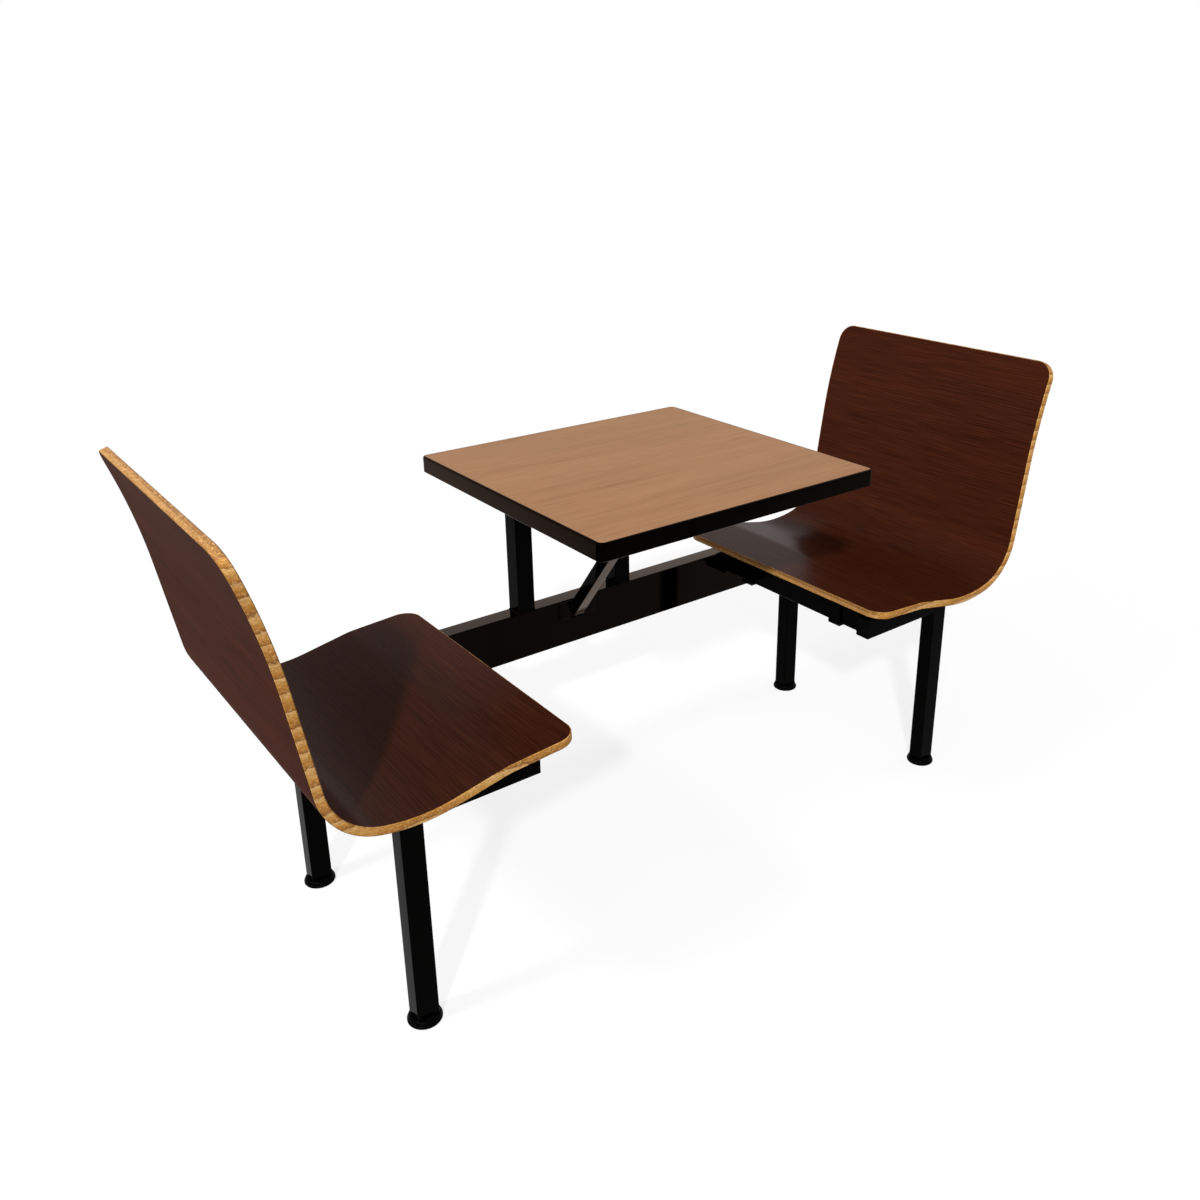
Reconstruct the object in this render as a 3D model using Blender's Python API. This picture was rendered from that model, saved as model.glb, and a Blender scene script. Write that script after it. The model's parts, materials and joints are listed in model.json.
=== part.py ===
"""Restaurant booth: a laminate table between two bent plywood seats, carried by one steel beam.

Units are metres and +Z is up. X runs from the left seat to the right seat. Y runs from the open
aisle side to the wall side, where the beam is. The origin is on the floor under the middle.
"""

import math

import bmesh
import bpy
from mathutils import Matrix, Vector

# Fits and sheet stock
FIT = 0.0003
LAMINATE = 0.0008
TUBE_WALL = 0.002
TUBE_CORNER = 0.0015
CORNER_STEPS = 3

# Table top
TABLE_LENGTH = 0.603
TABLE_DEPTH = 0.580
TABLE_HEIGHT = 0.762
TABLE_CORE = 0.0284
TABLE_CORNER = 0.012
BAND = 0.004
BAND_ROUND = 0.0035
BAND_EASE = 0.0015
TONGUE_DEPTH = 0.008
TONGUE_THICK = 0.0022

# Seat shell, described by the run of its upper face from the front edge to the top of the back
SEAT_WIDTH = 0.580
SEAT_CORNER = 0.036
SHELL_CORE = 0.0118
SEAT_FRONT_X = 0.346
SEAT_FRONT_HEIGHT = 0.4595
FRONT_RUN = 0.118
KNEE_RADIUS = 0.160
PAN_RUN = 0.080
DIP_RADIUS = 0.265
BEND_RADIUS = 0.100
BACK_RUN = 0.160
FLARE_RADIUS = 1.080
FRONT_TILT = math.radians(-4.0)
PAN_TILT = math.radians(-11.5)
DIP_TILT = math.radians(13.0)
BACK_TILT = math.radians(81.0)
TOP_TILT = math.radians(69.5)
ARC_STEP = math.radians(4.0)
FLARE_STEPS = 5
CORNER_STATIONS = 5

# Seat frames
LEG_X = 0.610
LEG_Y = 0.2158
LEG_DEPTH = 0.0381
LEG_WIDTH = 0.0318
RAIL_FRONT_X = 0.385
RAIL_WIDTH = 0.0318
RAIL_HEIGHT = 0.041
CAP_THICK = 0.002
CAP_PLUG = 0.015
CLAMP_THICK = 0.0047
CLAMP_WIDTH = 0.031
CLAMP_FLANGE = 0.022
CLAMP_Y = 0.132
CLAMP_SHIFT = 0.006

# Levelling feet
FOOT_HEIGHT = 0.013
GLIDE_RADIUS = 0.0284
GLIDE_TOP_RADIUS = 0.0240
GLIDE_RIM = 0.005
STEM_RADIUS = 0.005
STEM_LENGTH = 0.048
INSERT_DEPTH = 0.026
INSERT_CORNER = 0.96
ROUND_STEPS = 24

# Beam, and the joint between it and the seat frames
BEAM_WIDTH = 0.0381
BEAM_HEIGHT = 0.100
BEAM_WALL = 0.003
BEAM_DROP = 0.0055
MOUNT_PLATE = 0.0025
BOLT_RADIUS = 0.004
BOLT_CLEARANCE = 0.0004
BOLT_HEX = 0.0075
BOLT_HEAD = 0.0055
BOLT_NUT = 0.0065
BOLT_SPACING = 0.130

# Table posts and brace
POST_X = 0.1205
POST_WIDTH = 0.0381
SUPPORT_PLATE = 0.004
POST_PLATE_LENGTH = 0.130
POST_PLATE_DEPTH = 0.085
BRACE_SIZE = 0.0254
BRACE_ANGLE = math.radians(52.0)
BRACE_DROP = 0.0418
BRACE_FOOT_PLATE = 0.003
BRACE_FOOT_LENGTH = 0.0885
BRACE_FOOT_HEIGHT = 0.038
BRACE_HEAD_LENGTH = 0.060
BRACE_HEAD_MARGIN = 0.016

# Finishes as linear colour, roughness and metallic value
BLACK_STEEL = ((0.006, 0.006, 0.006), 0.28, 0.0)
ZINC = ((0.55, 0.55, 0.53), 0.35, 1.0)
BLACK_PLASTIC = ((0.008, 0.008, 0.008), 0.45, 0.0)
OAK_PLY = ((0.50, 0.26, 0.07), 0.50, 0.0)
DARK_VENEER = ((0.055, 0.017, 0.010), 0.35, 0.0)
TABLE_VENEER = ((0.40, 0.22, 0.12), 0.40, 0.0)
CHIPBOARD = ((0.45, 0.33, 0.20), 0.85, 0.0)
BACKING = ((0.20, 0.17, 0.14), 0.60, 0.0)

# Levels and planes that follow from the sizes above
SHELL_THICK = 2 * LAMINATE + 2 * FIT + SHELL_CORE
TABLE_THICK = 2 * LAMINATE + 2 * FIT + TABLE_CORE
TABLE_UNDERSIDE = TABLE_HEIGHT - TABLE_THICK
PLATE_UNDERSIDE = TABLE_UNDERSIDE - FIT - SUPPORT_PLATE
FRAME_SIDE_Y = LEG_Y + LEG_WIDTH / 2
LEG_FRONT_X = LEG_X - LEG_DEPTH / 2
LEG_REAR_X = LEG_X + LEG_DEPTH / 2
BEAM_NEAR_Y = FRAME_SIDE_Y + MOUNT_PLATE + 2 * FIT
BEAM_FAR_Y = BEAM_NEAR_Y + BEAM_WIDTH


def clear_scene():
    for old in list(bpy.data.objects):
        bpy.data.objects.remove(old, do_unlink=True)


def finish_material(name, finish):
    colour, roughness, metallic = finish
    material = bpy.data.materials.new(name + "_finish")
    material.use_nodes = True
    shader = material.node_tree.nodes["Principled BSDF"]
    shader.inputs["Base Color"].default_value = (*colour, 1.0)
    shader.inputs["Roughness"].default_value = roughness
    shader.inputs["Metallic"].default_value = metallic
    return material


def add_empty(name, turn=0.0):
    empty = bpy.data.objects.new(name, None)
    empty.rotation_euler.z = turn
    bpy.context.scene.collection.objects.link(empty)
    return empty


def add_solid(name, bm, finish, parent, location=(0, 0, 0)):
    """Turn a bmesh into a named object under its parent, with outward faces and its finish."""
    bmesh.ops.recalc_face_normals(bm, faces=bm.faces[:])
    mesh = bpy.data.meshes.new(name)
    bm.to_mesh(mesh)
    bm.free()
    mesh.shade_smooth()
    mesh.set_sharp_from_angle(angle=math.radians(35))
    mesh.materials.append(finish_material(name, finish))
    solid = bpy.data.objects.new(name, mesh)
    solid.location = location
    solid.parent = parent
    bpy.context.scene.collection.objects.link(solid)
    return solid


def loft(loops, ring=False):
    """Skin a row of equal point loops. A ring joins the last loop to the first, else both ends are capped."""
    bm = bmesh.new()
    rows = [[bm.verts.new(point) for point in loop] for loop in loops]
    pairs = list(zip(rows, rows[1:]))
    if ring:
        pairs.append((rows[-1], rows[0]))
    else:
        bm.faces.new(rows[0])
        bm.faces.new(rows[-1])
    for first, second in pairs:
        for i in range(len(first)):
            j = (i + 1) % len(first)
            bm.faces.new((first[i], first[j], second[j], second[i]))
    return bm


def rounded_rectangle(half_u, half_v, radius, steps=CORNER_STEPS):
    """Points of a rectangle with round corners, anticlockwise from the +u side."""
    points = []
    for quarter, (su, sv) in enumerate(((1, 1), (-1, 1), (-1, -1), (1, -1))):
        for i in range(steps + 1):
            angle = (quarter + i / steps) * math.pi / 2
            u = su * (half_u - radius) + radius * math.cos(angle)
            v = sv * (half_v - radius) + radius * math.sin(angle)
            points.append((u, v))
    return points


def circle(radius, steps=ROUND_STEPS):
    angles = [2 * math.pi * i / steps for i in range(steps)]
    return [(radius * math.cos(a), radius * math.sin(a)) for a in angles]


def along_x(points, x):
    return [Vector((x, u, v)) for u, v in points]


def along_y(points, y):
    return [Vector((u, y, v)) for u, v in points]


def along_z(points, z):
    return [Vector((u, v, z)) for u, v in points]


def tube(place, half_u, half_v, start, end, wall):
    """Open-ended rectangular tube. place puts a section's points at a distance along the tube."""
    outer = rounded_rectangle(half_u, half_v, TUBE_CORNER)
    inner = rounded_rectangle(half_u - wall, half_v - wall, max(TUBE_CORNER - wall, wall / 4))
    return loft([place(outer, start), place(outer, end), place(inner, end), place(inner, start)], ring=True)


def plate(half_x, half_y, half_z):
    bm = bmesh.new()
    size = Matrix.Diagonal((2 * half_x, 2 * half_y, 2 * half_z, 1))
    bmesh.ops.create_cube(bm, size=1.0, matrix=size)
    return bm


def end_plug(place, half_u, half_v, wall, sign):
    """Cap for a tube end: a plate of the tube's outline, and a plug that goes inside the tube."""
    gap = wall + FIT
    outline = rounded_rectangle(half_u, half_v, TUBE_CORNER)
    plug = rounded_rectangle(half_u - gap, half_v - gap, max(TUBE_CORNER - gap, wall / 4))
    stations = ((outline, 0.0), (outline, -CAP_THICK), (plug, -CAP_THICK), (plug, -CAP_THICK - CAP_PLUG))
    return loft([place(points, sign * distance) for points, distance in stations])


def drill(solid, centres, radius, reach):
    """Cut round holes along Y through a solid, at points in its parent's frame."""
    for number, centre in enumerate(centres):
        bm = loft([along_y(circle(radius, 12), -reach), along_y(circle(radius, 12), reach)])
        name = f"{solid.name}_drill_{number}"
        cutter = add_solid(name, bm, BLACK_STEEL, solid.parent, centre)
        cutter.hide_render = True
        cutter.display_type = "WIRE"
        cut = solid.modifiers.new(name, "BOOLEAN")
        cut.operation = "DIFFERENCE"
        cut.object = cutter


# The seat shell is one flat sheet bent along a run of lines and arcs

def arc(radius, start, end):
    return (radius * abs(end - start), start, end, max(1, math.ceil(abs(end - start) / ARC_STEP)))


def shell_runs():
    """Each run as its length, its tilt at either end and the number of facets that show its curve."""
    flare_length = FLARE_RADIUS * abs(TOP_TILT - BACK_TILT)
    return [
        (FRONT_RUN, FRONT_TILT, FRONT_TILT, 1),
        arc(KNEE_RADIUS, FRONT_TILT, PAN_TILT),
        (PAN_RUN, PAN_TILT, PAN_TILT, 1),
        arc(DIP_RADIUS, PAN_TILT, DIP_TILT),
        arc(BEND_RADIUS, DIP_TILT, BACK_TILT),
        (BACK_RUN, BACK_TILT, BACK_TILT, 1),
        (flare_length, BACK_TILT, TOP_TILT, FLARE_STEPS),
    ]


SHELL_LENGTH = sum(run[0] for run in shell_runs())


def shell_point(distance, depth):
    """The point at a distance along the upper face, and at a depth below that face."""
    x, z, tilt = SEAT_FRONT_X, SEAT_FRONT_HEIGHT, FRONT_TILT
    for length, start, end, _ in shell_runs():
        step = min(max(distance, 0.0), length)
        bend = (end - start) / length
        tilt = start + bend * step
        if abs(bend) < 1e-9:
            x += step * math.cos(start)
            z += step * math.sin(start)
        else:
            x += (math.sin(tilt) - math.sin(start)) / bend
            z += (math.cos(start) - math.cos(tilt)) / bend
        distance -= length
        if distance <= 0:
            break
    return x + depth * math.sin(tilt), z - depth * math.cos(tilt)


def shell_stations():
    """Distances at which the sheet gets a cross-section: at every facet and along the round corners."""
    stations = {0.0}
    reached = 0.0
    for length, _, _, facets in shell_runs():
        stations.update(reached + length * (i + 1) / facets for i in range(facets))
        reached += length
    for i in range(1, CORNER_STATIONS + 1):
        inset = SEAT_CORNER * (1 - math.cos(math.pi / 2 * i / CORNER_STATIONS))
        stations.update((inset, SHELL_LENGTH - inset))
    ordered = sorted(stations)
    return [a for a, b in zip(ordered, ordered[1:]) if b - a > FIT] + [ordered[-1]]


def shell_half_width(distance):
    from_end = min(distance, SHELL_LENGTH - distance)
    if from_end >= SEAT_CORNER:
        return SEAT_WIDTH / 2
    inset = SEAT_CORNER - max(from_end, 0.0)
    return SEAT_WIDTH / 2 - SEAT_CORNER + math.sqrt(SEAT_CORNER ** 2 - inset ** 2)


def shell_sheet(depth, thickness):
    """One layer of the shell, between two depths below the upper face."""
    loops = []
    for distance in shell_stations():
        half = shell_half_width(distance)
        top_x, top_z = shell_point(distance, depth)
        low_x, low_z = shell_point(distance, depth + thickness)
        corners = ((top_x, -half, top_z), (top_x, half, top_z), (low_x, half, low_z), (low_x, -half, low_z))
        loops.append([Vector(corner) for corner in corners])
    return loft(loops)


def height_under_shell(start, end):
    """The highest level that clears the shell's underside between two X positions."""
    pan_length = sum(run[0] for run in shell_runs()[:5])
    samples = 600
    points = [shell_point(pan_length * i / samples, SHELL_THICK) for i in range(samples + 1)]
    return min(z for x, z in points if start <= x <= end) - FIT


RAIL_TOP = height_under_shell(RAIL_FRONT_X, LEG_FRONT_X)
RAIL_BOTTOM = RAIL_TOP - RAIL_HEIGHT
CROSS_BOTTOM = RAIL_BOTTOM + CLAMP_THICK + FIT
CROSS_FRONT_X = RAIL_FRONT_X + CLAMP_THICK + FIT
BEAM_TOP = RAIL_TOP - BEAM_DROP
BOLT_Z = RAIL_BOTTOM + RAIL_HEIGHT / 2
BOLT_MIDDLE_X = (CROSS_FRONT_X + RAIL_WIDTH + LEG_FRONT_X) / 2


def build_shell(side, seat):
    core_depth = LAMINATE + FIT
    back_depth = core_depth + SHELL_CORE + FIT
    add_solid(f"seat_face_laminate_{side}", shell_sheet(0.0, LAMINATE), DARK_VENEER, seat)
    add_solid(f"seat_core_{side}", shell_sheet(core_depth, SHELL_CORE), OAK_PLY, seat)
    add_solid(f"seat_back_laminate_{side}", shell_sheet(back_depth, LAMINATE), DARK_VENEER, seat)


def build_cross_rail(name, front_x, length, seat):
    top = height_under_shell(front_x, front_x + RAIL_WIDTH)
    half_height = (top - CROSS_BOTTOM) / 2
    bm = tube(along_y, RAIL_WIDTH / 2, half_height, -length / 2, length / 2, TUBE_WALL)
    place = (front_x + RAIL_WIDTH / 2, 0, CROSS_BOTTOM + half_height)
    add_solid(name, bm, BLACK_STEEL, seat, place)


def build_clamp(name, rail_front_x, y, seat):
    """Strap bent round a cross rail from below, with flanges that lie under the shell."""
    inner_front = rail_front_x - FIT
    inner_rear = rail_front_x + RAIL_WIDTH + FIT
    outer_front = inner_front - CLAMP_THICK
    outer_rear = inner_rear + CLAMP_THICK
    tip_front = outer_front - CLAMP_FLANGE
    tip_rear = outer_rear + CLAMP_FLANGE
    front_top = height_under_shell(tip_front, inner_front)
    rear_top = height_under_shell(inner_rear, tip_rear)
    bottom = CROSS_BOTTOM - FIT
    outline = [
        (tip_front, front_top), (tip_front, front_top - CLAMP_THICK),
        (outer_front, front_top - CLAMP_THICK), (outer_front, bottom - CLAMP_THICK),
        (outer_rear, bottom - CLAMP_THICK), (outer_rear, rear_top - CLAMP_THICK),
        (tip_rear, rear_top - CLAMP_THICK), (tip_rear, rear_top),
        (inner_rear, rear_top), (inner_rear, bottom),
        (inner_front, bottom), (inner_front, front_top),
    ]
    half = CLAMP_WIDTH / 2
    strap = loft([along_y(outline, -half), along_y(outline, half)])
    add_solid(name, strap, BLACK_STEEL, seat, (0, y, 0))


def build_side_rail(side, edge, y_sign, seat, bolt_centres):
    centre_y = y_sign * (FRAME_SIDE_Y - RAIL_WIDTH / 2)
    centre_z = RAIL_BOTTOM + RAIL_HEIGHT / 2
    start = RAIL_FRONT_X + CAP_THICK + FIT
    bm = tube(along_x, RAIL_WIDTH / 2, RAIL_HEIGHT / 2, start, LEG_FRONT_X - FIT, TUBE_WALL)
    rail = add_solid(f"side_rail_{side}_{edge}", bm, BLACK_STEEL, seat, (0, centre_y, centre_z))
    drill(rail, bolt_centres, BOLT_RADIUS + BOLT_CLEARANCE, RAIL_WIDTH + BEAM_WIDTH)
    cap = end_plug(along_x, RAIL_WIDTH / 2, RAIL_HEIGHT / 2, TUBE_WALL, -1)
    place = (RAIL_FRONT_X, centre_y, centre_z)
    add_solid(f"rail_cap_{side}_{edge}", cap, BLACK_PLASTIC, seat, place)


def build_leg(side, edge, y_sign, seat):
    """Tube leg, open below and closed on top, with its threaded plug and levelling foot."""
    half_x = LEG_DEPTH / 2
    half_y = LEG_WIDTH / 2
    top = height_under_shell(LEG_FRONT_X, LEG_REAR_X)
    outer = rounded_rectangle(half_x, half_y, TUBE_CORNER)
    inner = rounded_rectangle(half_x - TUBE_WALL, half_y - TUBE_WALL, max(TUBE_CORNER - TUBE_WALL, TUBE_WALL / 4))
    loops = [
        along_z(outer, top - FOOT_HEIGHT), along_z(outer, 0.0),
        along_z(inner, 0.0), along_z(inner, top - FOOT_HEIGHT - TUBE_WALL),
    ]
    y = y_sign * LEG_Y
    add_solid(f"leg_{side}_{edge}", loft(loops), BLACK_STEEL, seat, (LEG_X, y, FOOT_HEIGHT))
    build_leg_insert(side, edge, y, seat)
    build_glide(side, edge, y, seat)


def build_leg_insert(side, edge, y, seat):
    """Plug that fills the leg's end, with a round bore for the foot's stem."""
    half_x = LEG_DEPTH / 2 - TUBE_WALL - FIT
    half_y = LEG_WIDTH / 2 - TUBE_WALL - FIT
    corner = INSERT_CORNER * math.hypot(half_x, half_y)
    bore = circle(STEM_RADIUS + FIT)
    body = []
    for u, v in circle(1.0):
        reach = min(1 / max(abs(u) / half_x, abs(v) / half_y), corner)
        body.append((u * reach, v * reach))
    loops = [along_z(body, 0.0), along_z(body, INSERT_DEPTH), along_z(bore, INSERT_DEPTH), along_z(bore, 0.0)]
    bm = loft(loops, ring=True)
    add_solid(f"leg_insert_{side}_{edge}", bm, BLACK_PLASTIC, seat, (LEG_X, y, FOOT_HEIGHT))


def build_glide(side, edge, y, seat):
    """Round foot with a rolled rim and a threaded stem, turned about the leg's axis."""
    top = FOOT_HEIGHT - FIT
    shoulder = GLIDE_RADIUS - GLIDE_TOP_RADIUS
    profile = [(GLIDE_RADIUS - GLIDE_RIM / 3, 0.0), (GLIDE_RADIUS, GLIDE_RIM / 3), (GLIDE_RADIUS, GLIDE_RIM)]
    for i in range(1, 5):
        angle = math.pi / 2 * i / 4
        radius = GLIDE_TOP_RADIUS + shoulder * math.cos(angle)
        profile.append((radius, GLIDE_RIM + (top - GLIDE_RIM) * math.sin(angle)))
    profile += [(STEM_RADIUS, top), (STEM_RADIUS, top + STEM_LENGTH)]
    bm = loft([along_z(circle(radius), z) for radius, z in profile])
    add_solid(f"glide_{side}_{edge}", bm, BLACK_PLASTIC, seat, (LEG_X, y, 0))


def build_seat(side, turn):
    """One seat on its frame. The seat points along +X of its empty, which is turned for the left seat."""
    seat = add_empty(f"seat_{side}", turn)
    wall_sign = 1 if side == "right" else -1
    build_shell(side, seat)
    cross_length = 2 * (FRAME_SIDE_Y - RAIL_WIDTH - FIT)
    build_cross_rail(f"front_rail_{side}", CROSS_FRONT_X, cross_length, seat)
    rear_front_x = LEG_X - RAIL_WIDTH / 2
    rear_length = 2 * (LEG_Y - LEG_WIDTH / 2 - FIT)
    build_cross_rail(f"rear_rail_{side}", rear_front_x, rear_length, seat)
    bolt_y = wall_sign * BEAM_NEAR_Y
    bolts = [(BOLT_MIDDLE_X + offset, bolt_y, BOLT_Z) for offset in (-BOLT_SPACING / 2, BOLT_SPACING / 2)]
    for edge, y_sign in (("aisle", -wall_sign), ("wall", wall_sign)):
        build_side_rail(side, edge, y_sign, seat, bolts if edge == "wall" else [])
        build_leg(side, edge, y_sign, seat)
        clamp_y = y_sign * CLAMP_Y - wall_sign * CLAMP_SHIFT
        build_clamp(f"clamp_{side}_front_{edge}", CROSS_FRONT_X, clamp_y, seat)
        build_clamp(f"clamp_{side}_rear_{edge}", rear_front_x, clamp_y, seat)
    build_beam_joint(side, wall_sign, seat, bolts)
    return [seat.rotation_euler.to_matrix() @ Vector(bolt) for bolt in bolts]


def build_beam_joint(side, wall_sign, seat, bolts):
    """Plate between the seat frame and the beam, and the bolts that go through both."""
    front_x = RAIL_FRONT_X + CAP_THICK
    half_height = (BEAM_TOP - RAIL_BOTTOM) / 2
    bm = plate((LEG_REAR_X - front_x) / 2, MOUNT_PLATE / 2, half_height)
    centre_y = wall_sign * (FRAME_SIDE_Y + FIT + MOUNT_PLATE / 2)
    place = ((front_x + LEG_REAR_X) / 2, centre_y, RAIL_BOTTOM + half_height)
    mount = add_solid(f"mount_plate_{side}", bm, BLACK_STEEL, seat, place)
    drill(mount, bolts, BOLT_RADIUS + BOLT_CLEARANCE, BEAM_WIDTH)
    nut_end = FRAME_SIDE_Y - RAIL_WIDTH - FIT
    head_start = BEAM_FAR_Y + FIT
    hexagon = [point for i in range(6) for point in hexagon_side(i)]
    shank = circle(BOLT_RADIUS, 12)
    stations = (
        (hexagon, nut_end - BOLT_NUT), (hexagon, nut_end), (shank, nut_end),
        (shank, head_start), (hexagon, head_start), (hexagon, head_start + BOLT_HEAD),
    )
    for name, (x, _, z) in zip(("front", "rear"), bolts):
        bm = loft([along_y(points, wall_sign * y) for points, y in stations])
        add_solid(f"frame_bolt_{side}_{name}", bm, ZINC, seat, (x, 0, z))


def hexagon_side(number):
    """A corner of the bolt's hexagon and the middle of the flat after it."""
    corner = math.pi / 3 * number
    middle = corner + math.pi / 6
    flat = BOLT_HEX * math.cos(math.pi / 6)
    return (
        (BOLT_HEX * math.cos(corner), BOLT_HEX * math.sin(corner)),
        (flat * math.cos(middle), flat * math.sin(middle)),
    )


def build_beam(booth, bolts):
    half_height = BEAM_HEIGHT / 2
    centre = Vector((0, BEAM_NEAR_Y + BEAM_WIDTH / 2, BEAM_TOP - half_height))
    end = LEG_REAR_X - CAP_THICK - FIT
    bm = tube(along_x, BEAM_WIDTH / 2, half_height, -end, end, BEAM_WALL)
    beam = add_solid("beam", bm, BLACK_STEEL, booth, centre)
    drill(beam, bolts, BOLT_RADIUS + BOLT_CLEARANCE, 2 * BEAM_WIDTH)
    for side, sign in (("left", -1), ("right", 1)):
        cap = end_plug(along_x, BEAM_WIDTH / 2, half_height, BEAM_WALL, sign)
        place = centre + Vector((sign * LEG_REAR_X, 0, 0))
        add_solid(f"beam_cap_{side}", cap, BLACK_PLASTIC, booth, place)


def build_posts(booth):
    foot = BEAM_TOP + FIT
    head = PLATE_UNDERSIDE - FIT
    centre_y = BEAM_NEAR_Y + BEAM_WIDTH / 2
    plate_y = BEAM_FAR_Y - POST_PLATE_DEPTH / 2
    for side, sign in (("left", -1), ("right", 1)):
        bm = tube(along_z, POST_WIDTH / 2, BEAM_WIDTH / 2, 0.0, head - foot, TUBE_WALL)
        add_solid(f"post_{side}", bm, BLACK_STEEL, booth, (sign * POST_X, centre_y, foot))
        bm = plate(POST_PLATE_LENGTH / 2, POST_PLATE_DEPTH / 2, SUPPORT_PLATE / 2)
        place = (sign * POST_X, plate_y, PLATE_UNDERSIDE + SUPPORT_PLATE / 2)
        add_solid(f"post_plate_{side}", bm, BLACK_STEEL, booth, place)


def build_brace(booth):
    """Slanted tube, cut upright against the beam's plate and level against the table's plate."""
    plate_face = BEAM_NEAR_Y - FIT - BRACE_FOOT_PLATE
    foot_y = plate_face - FIT
    foot_z = BEAM_TOP - BRACE_DROP
    head_z = PLATE_UNDERSIDE - FIT
    head_y = foot_y - (head_z - foot_z) / math.tan(BRACE_ANGLE)
    rise = BRACE_SIZE / math.cos(BRACE_ANGLE)
    run = BRACE_SIZE / math.sin(BRACE_ANGLE)

    def sections(inset):
        """The tube's outline, drawn in by an inset, where it meets the beam and the table."""
        half = BRACE_SIZE / 2 - inset
        outline = rounded_rectangle(half, half, max(TUBE_CORNER - inset, TUBE_WALL / 4))
        foot = [Vector((u, foot_y, foot_z + (0.5 + v / BRACE_SIZE) * rise)) for u, v in outline]
        head = [Vector((u, head_y + (0.5 + v / BRACE_SIZE) * run, head_z)) for u, v in outline]
        return foot, head

    outer_foot, outer_head = sections(0.0)
    inner_foot, inner_head = sections(TUBE_WALL)
    bm = loft([outer_foot, outer_head, inner_head, inner_foot], ring=True)
    add_solid("brace", bm, BLACK_STEEL, booth)
    bm = plate(BRACE_FOOT_LENGTH / 2, BRACE_FOOT_PLATE / 2, BRACE_FOOT_HEIGHT / 2)
    place = (0, plate_face + BRACE_FOOT_PLATE / 2, foot_z + rise / 2)
    add_solid("brace_foot_plate", bm, BLACK_STEEL, booth, place)
    bm = plate(BRACE_HEAD_LENGTH / 2, run / 2 + BRACE_HEAD_MARGIN, SUPPORT_PLATE / 2)
    place = (0, head_y + run / 2, PLATE_UNDERSIDE + SUPPORT_PLATE / 2)
    add_solid("brace_head_plate", bm, BLACK_STEEL, booth, place)


def table_outline(inset):
    """The table's plan outline, drawn in from the band's outer face."""
    radius = max(TABLE_CORNER - inset, TABLE_CORNER / 6)
    return rounded_rectangle(TABLE_LENGTH / 2 - inset, TABLE_DEPTH / 2 - inset, radius, 4)


def build_table(booth):
    """Core board with a kerf round its edge, sheets on both faces and a tongued vinyl band."""
    core_low = LAMINATE + FIT
    core_high = core_low + TABLE_CORE
    kerf_low = TABLE_THICK / 2 - TONGUE_THICK / 2 - FIT
    kerf_high = TABLE_THICK / 2 + TONGUE_THICK / 2 + FIT
    edge = BAND + FIT
    kerf = edge + TONGUE_DEPTH + FIT
    place = (0, 0, TABLE_UNDERSIDE)
    core = ((edge, core_low), (edge, kerf_low), (kerf, kerf_low), (kerf, kerf_high), (edge, kerf_high), (edge, core_high))
    bm = loft([along_z(table_outline(inset), z) for inset, z in core])
    add_solid("table_core", bm, CHIPBOARD, booth, place)
    for name, low, finish in (("table_backing_sheet", 0.0, BACKING), ("table_top_laminate", core_high + FIT, TABLE_VENEER)):
        bm = loft([along_z(table_outline(edge), low), along_z(table_outline(edge), low + LAMINATE)])
        add_solid(name, bm, finish, booth, place)
    tongue = BAND + TONGUE_DEPTH
    band = [
        (BAND, 0.0), (BAND, TABLE_THICK / 2 - TONGUE_THICK / 2), (tongue, TABLE_THICK / 2 - TONGUE_THICK / 2),
        (tongue, TABLE_THICK / 2 + TONGUE_THICK / 2), (BAND, TABLE_THICK / 2 + TONGUE_THICK / 2), (BAND, TABLE_THICK),
    ]
    for radius, height, direction in ((BAND_ROUND, TABLE_THICK - BAND_ROUND, 1), (BAND_EASE, BAND_EASE, -1)):
        angles = [math.pi / 2 * i / 3 for i in range(3, -1, -1)]
        for angle in angles if direction > 0 else reversed(angles):
            inset = radius * (1 - math.cos(angle))
            band.append((inset, height + direction * radius * math.sin(angle)))
    bm = loft([along_z(table_outline(inset), z) for inset, z in band], ring=True)
    add_solid("table_edge_band", bm, BLACK_PLASTIC, booth, place)


clear_scene()
booth_empty = add_empty("booth")
bolt_places = build_seat("right", 0.0) + build_seat("left", math.pi)
build_beam(booth_empty, bolt_places)
build_posts(booth_empty)
build_brace(booth_empty)
build_table(booth_empty)
bpy.context.view_layer.update()
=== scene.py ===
# %% [markdown]
# # Dressing a restaurant booth
# The booth comes in as a finished CAD frame: a table between two bent plywood seats, all carried by one
# steel beam. This lesson keeps every place and size from that frame. It gives the frame finer curves and
# eased edges, real finishes, and the screws, bolts, threads and welds that a maker would put there.

# %% Load the frame and keep its box
import json
import math

import bmesh
import bpy
from mathutils import Matrix, Vector


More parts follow.
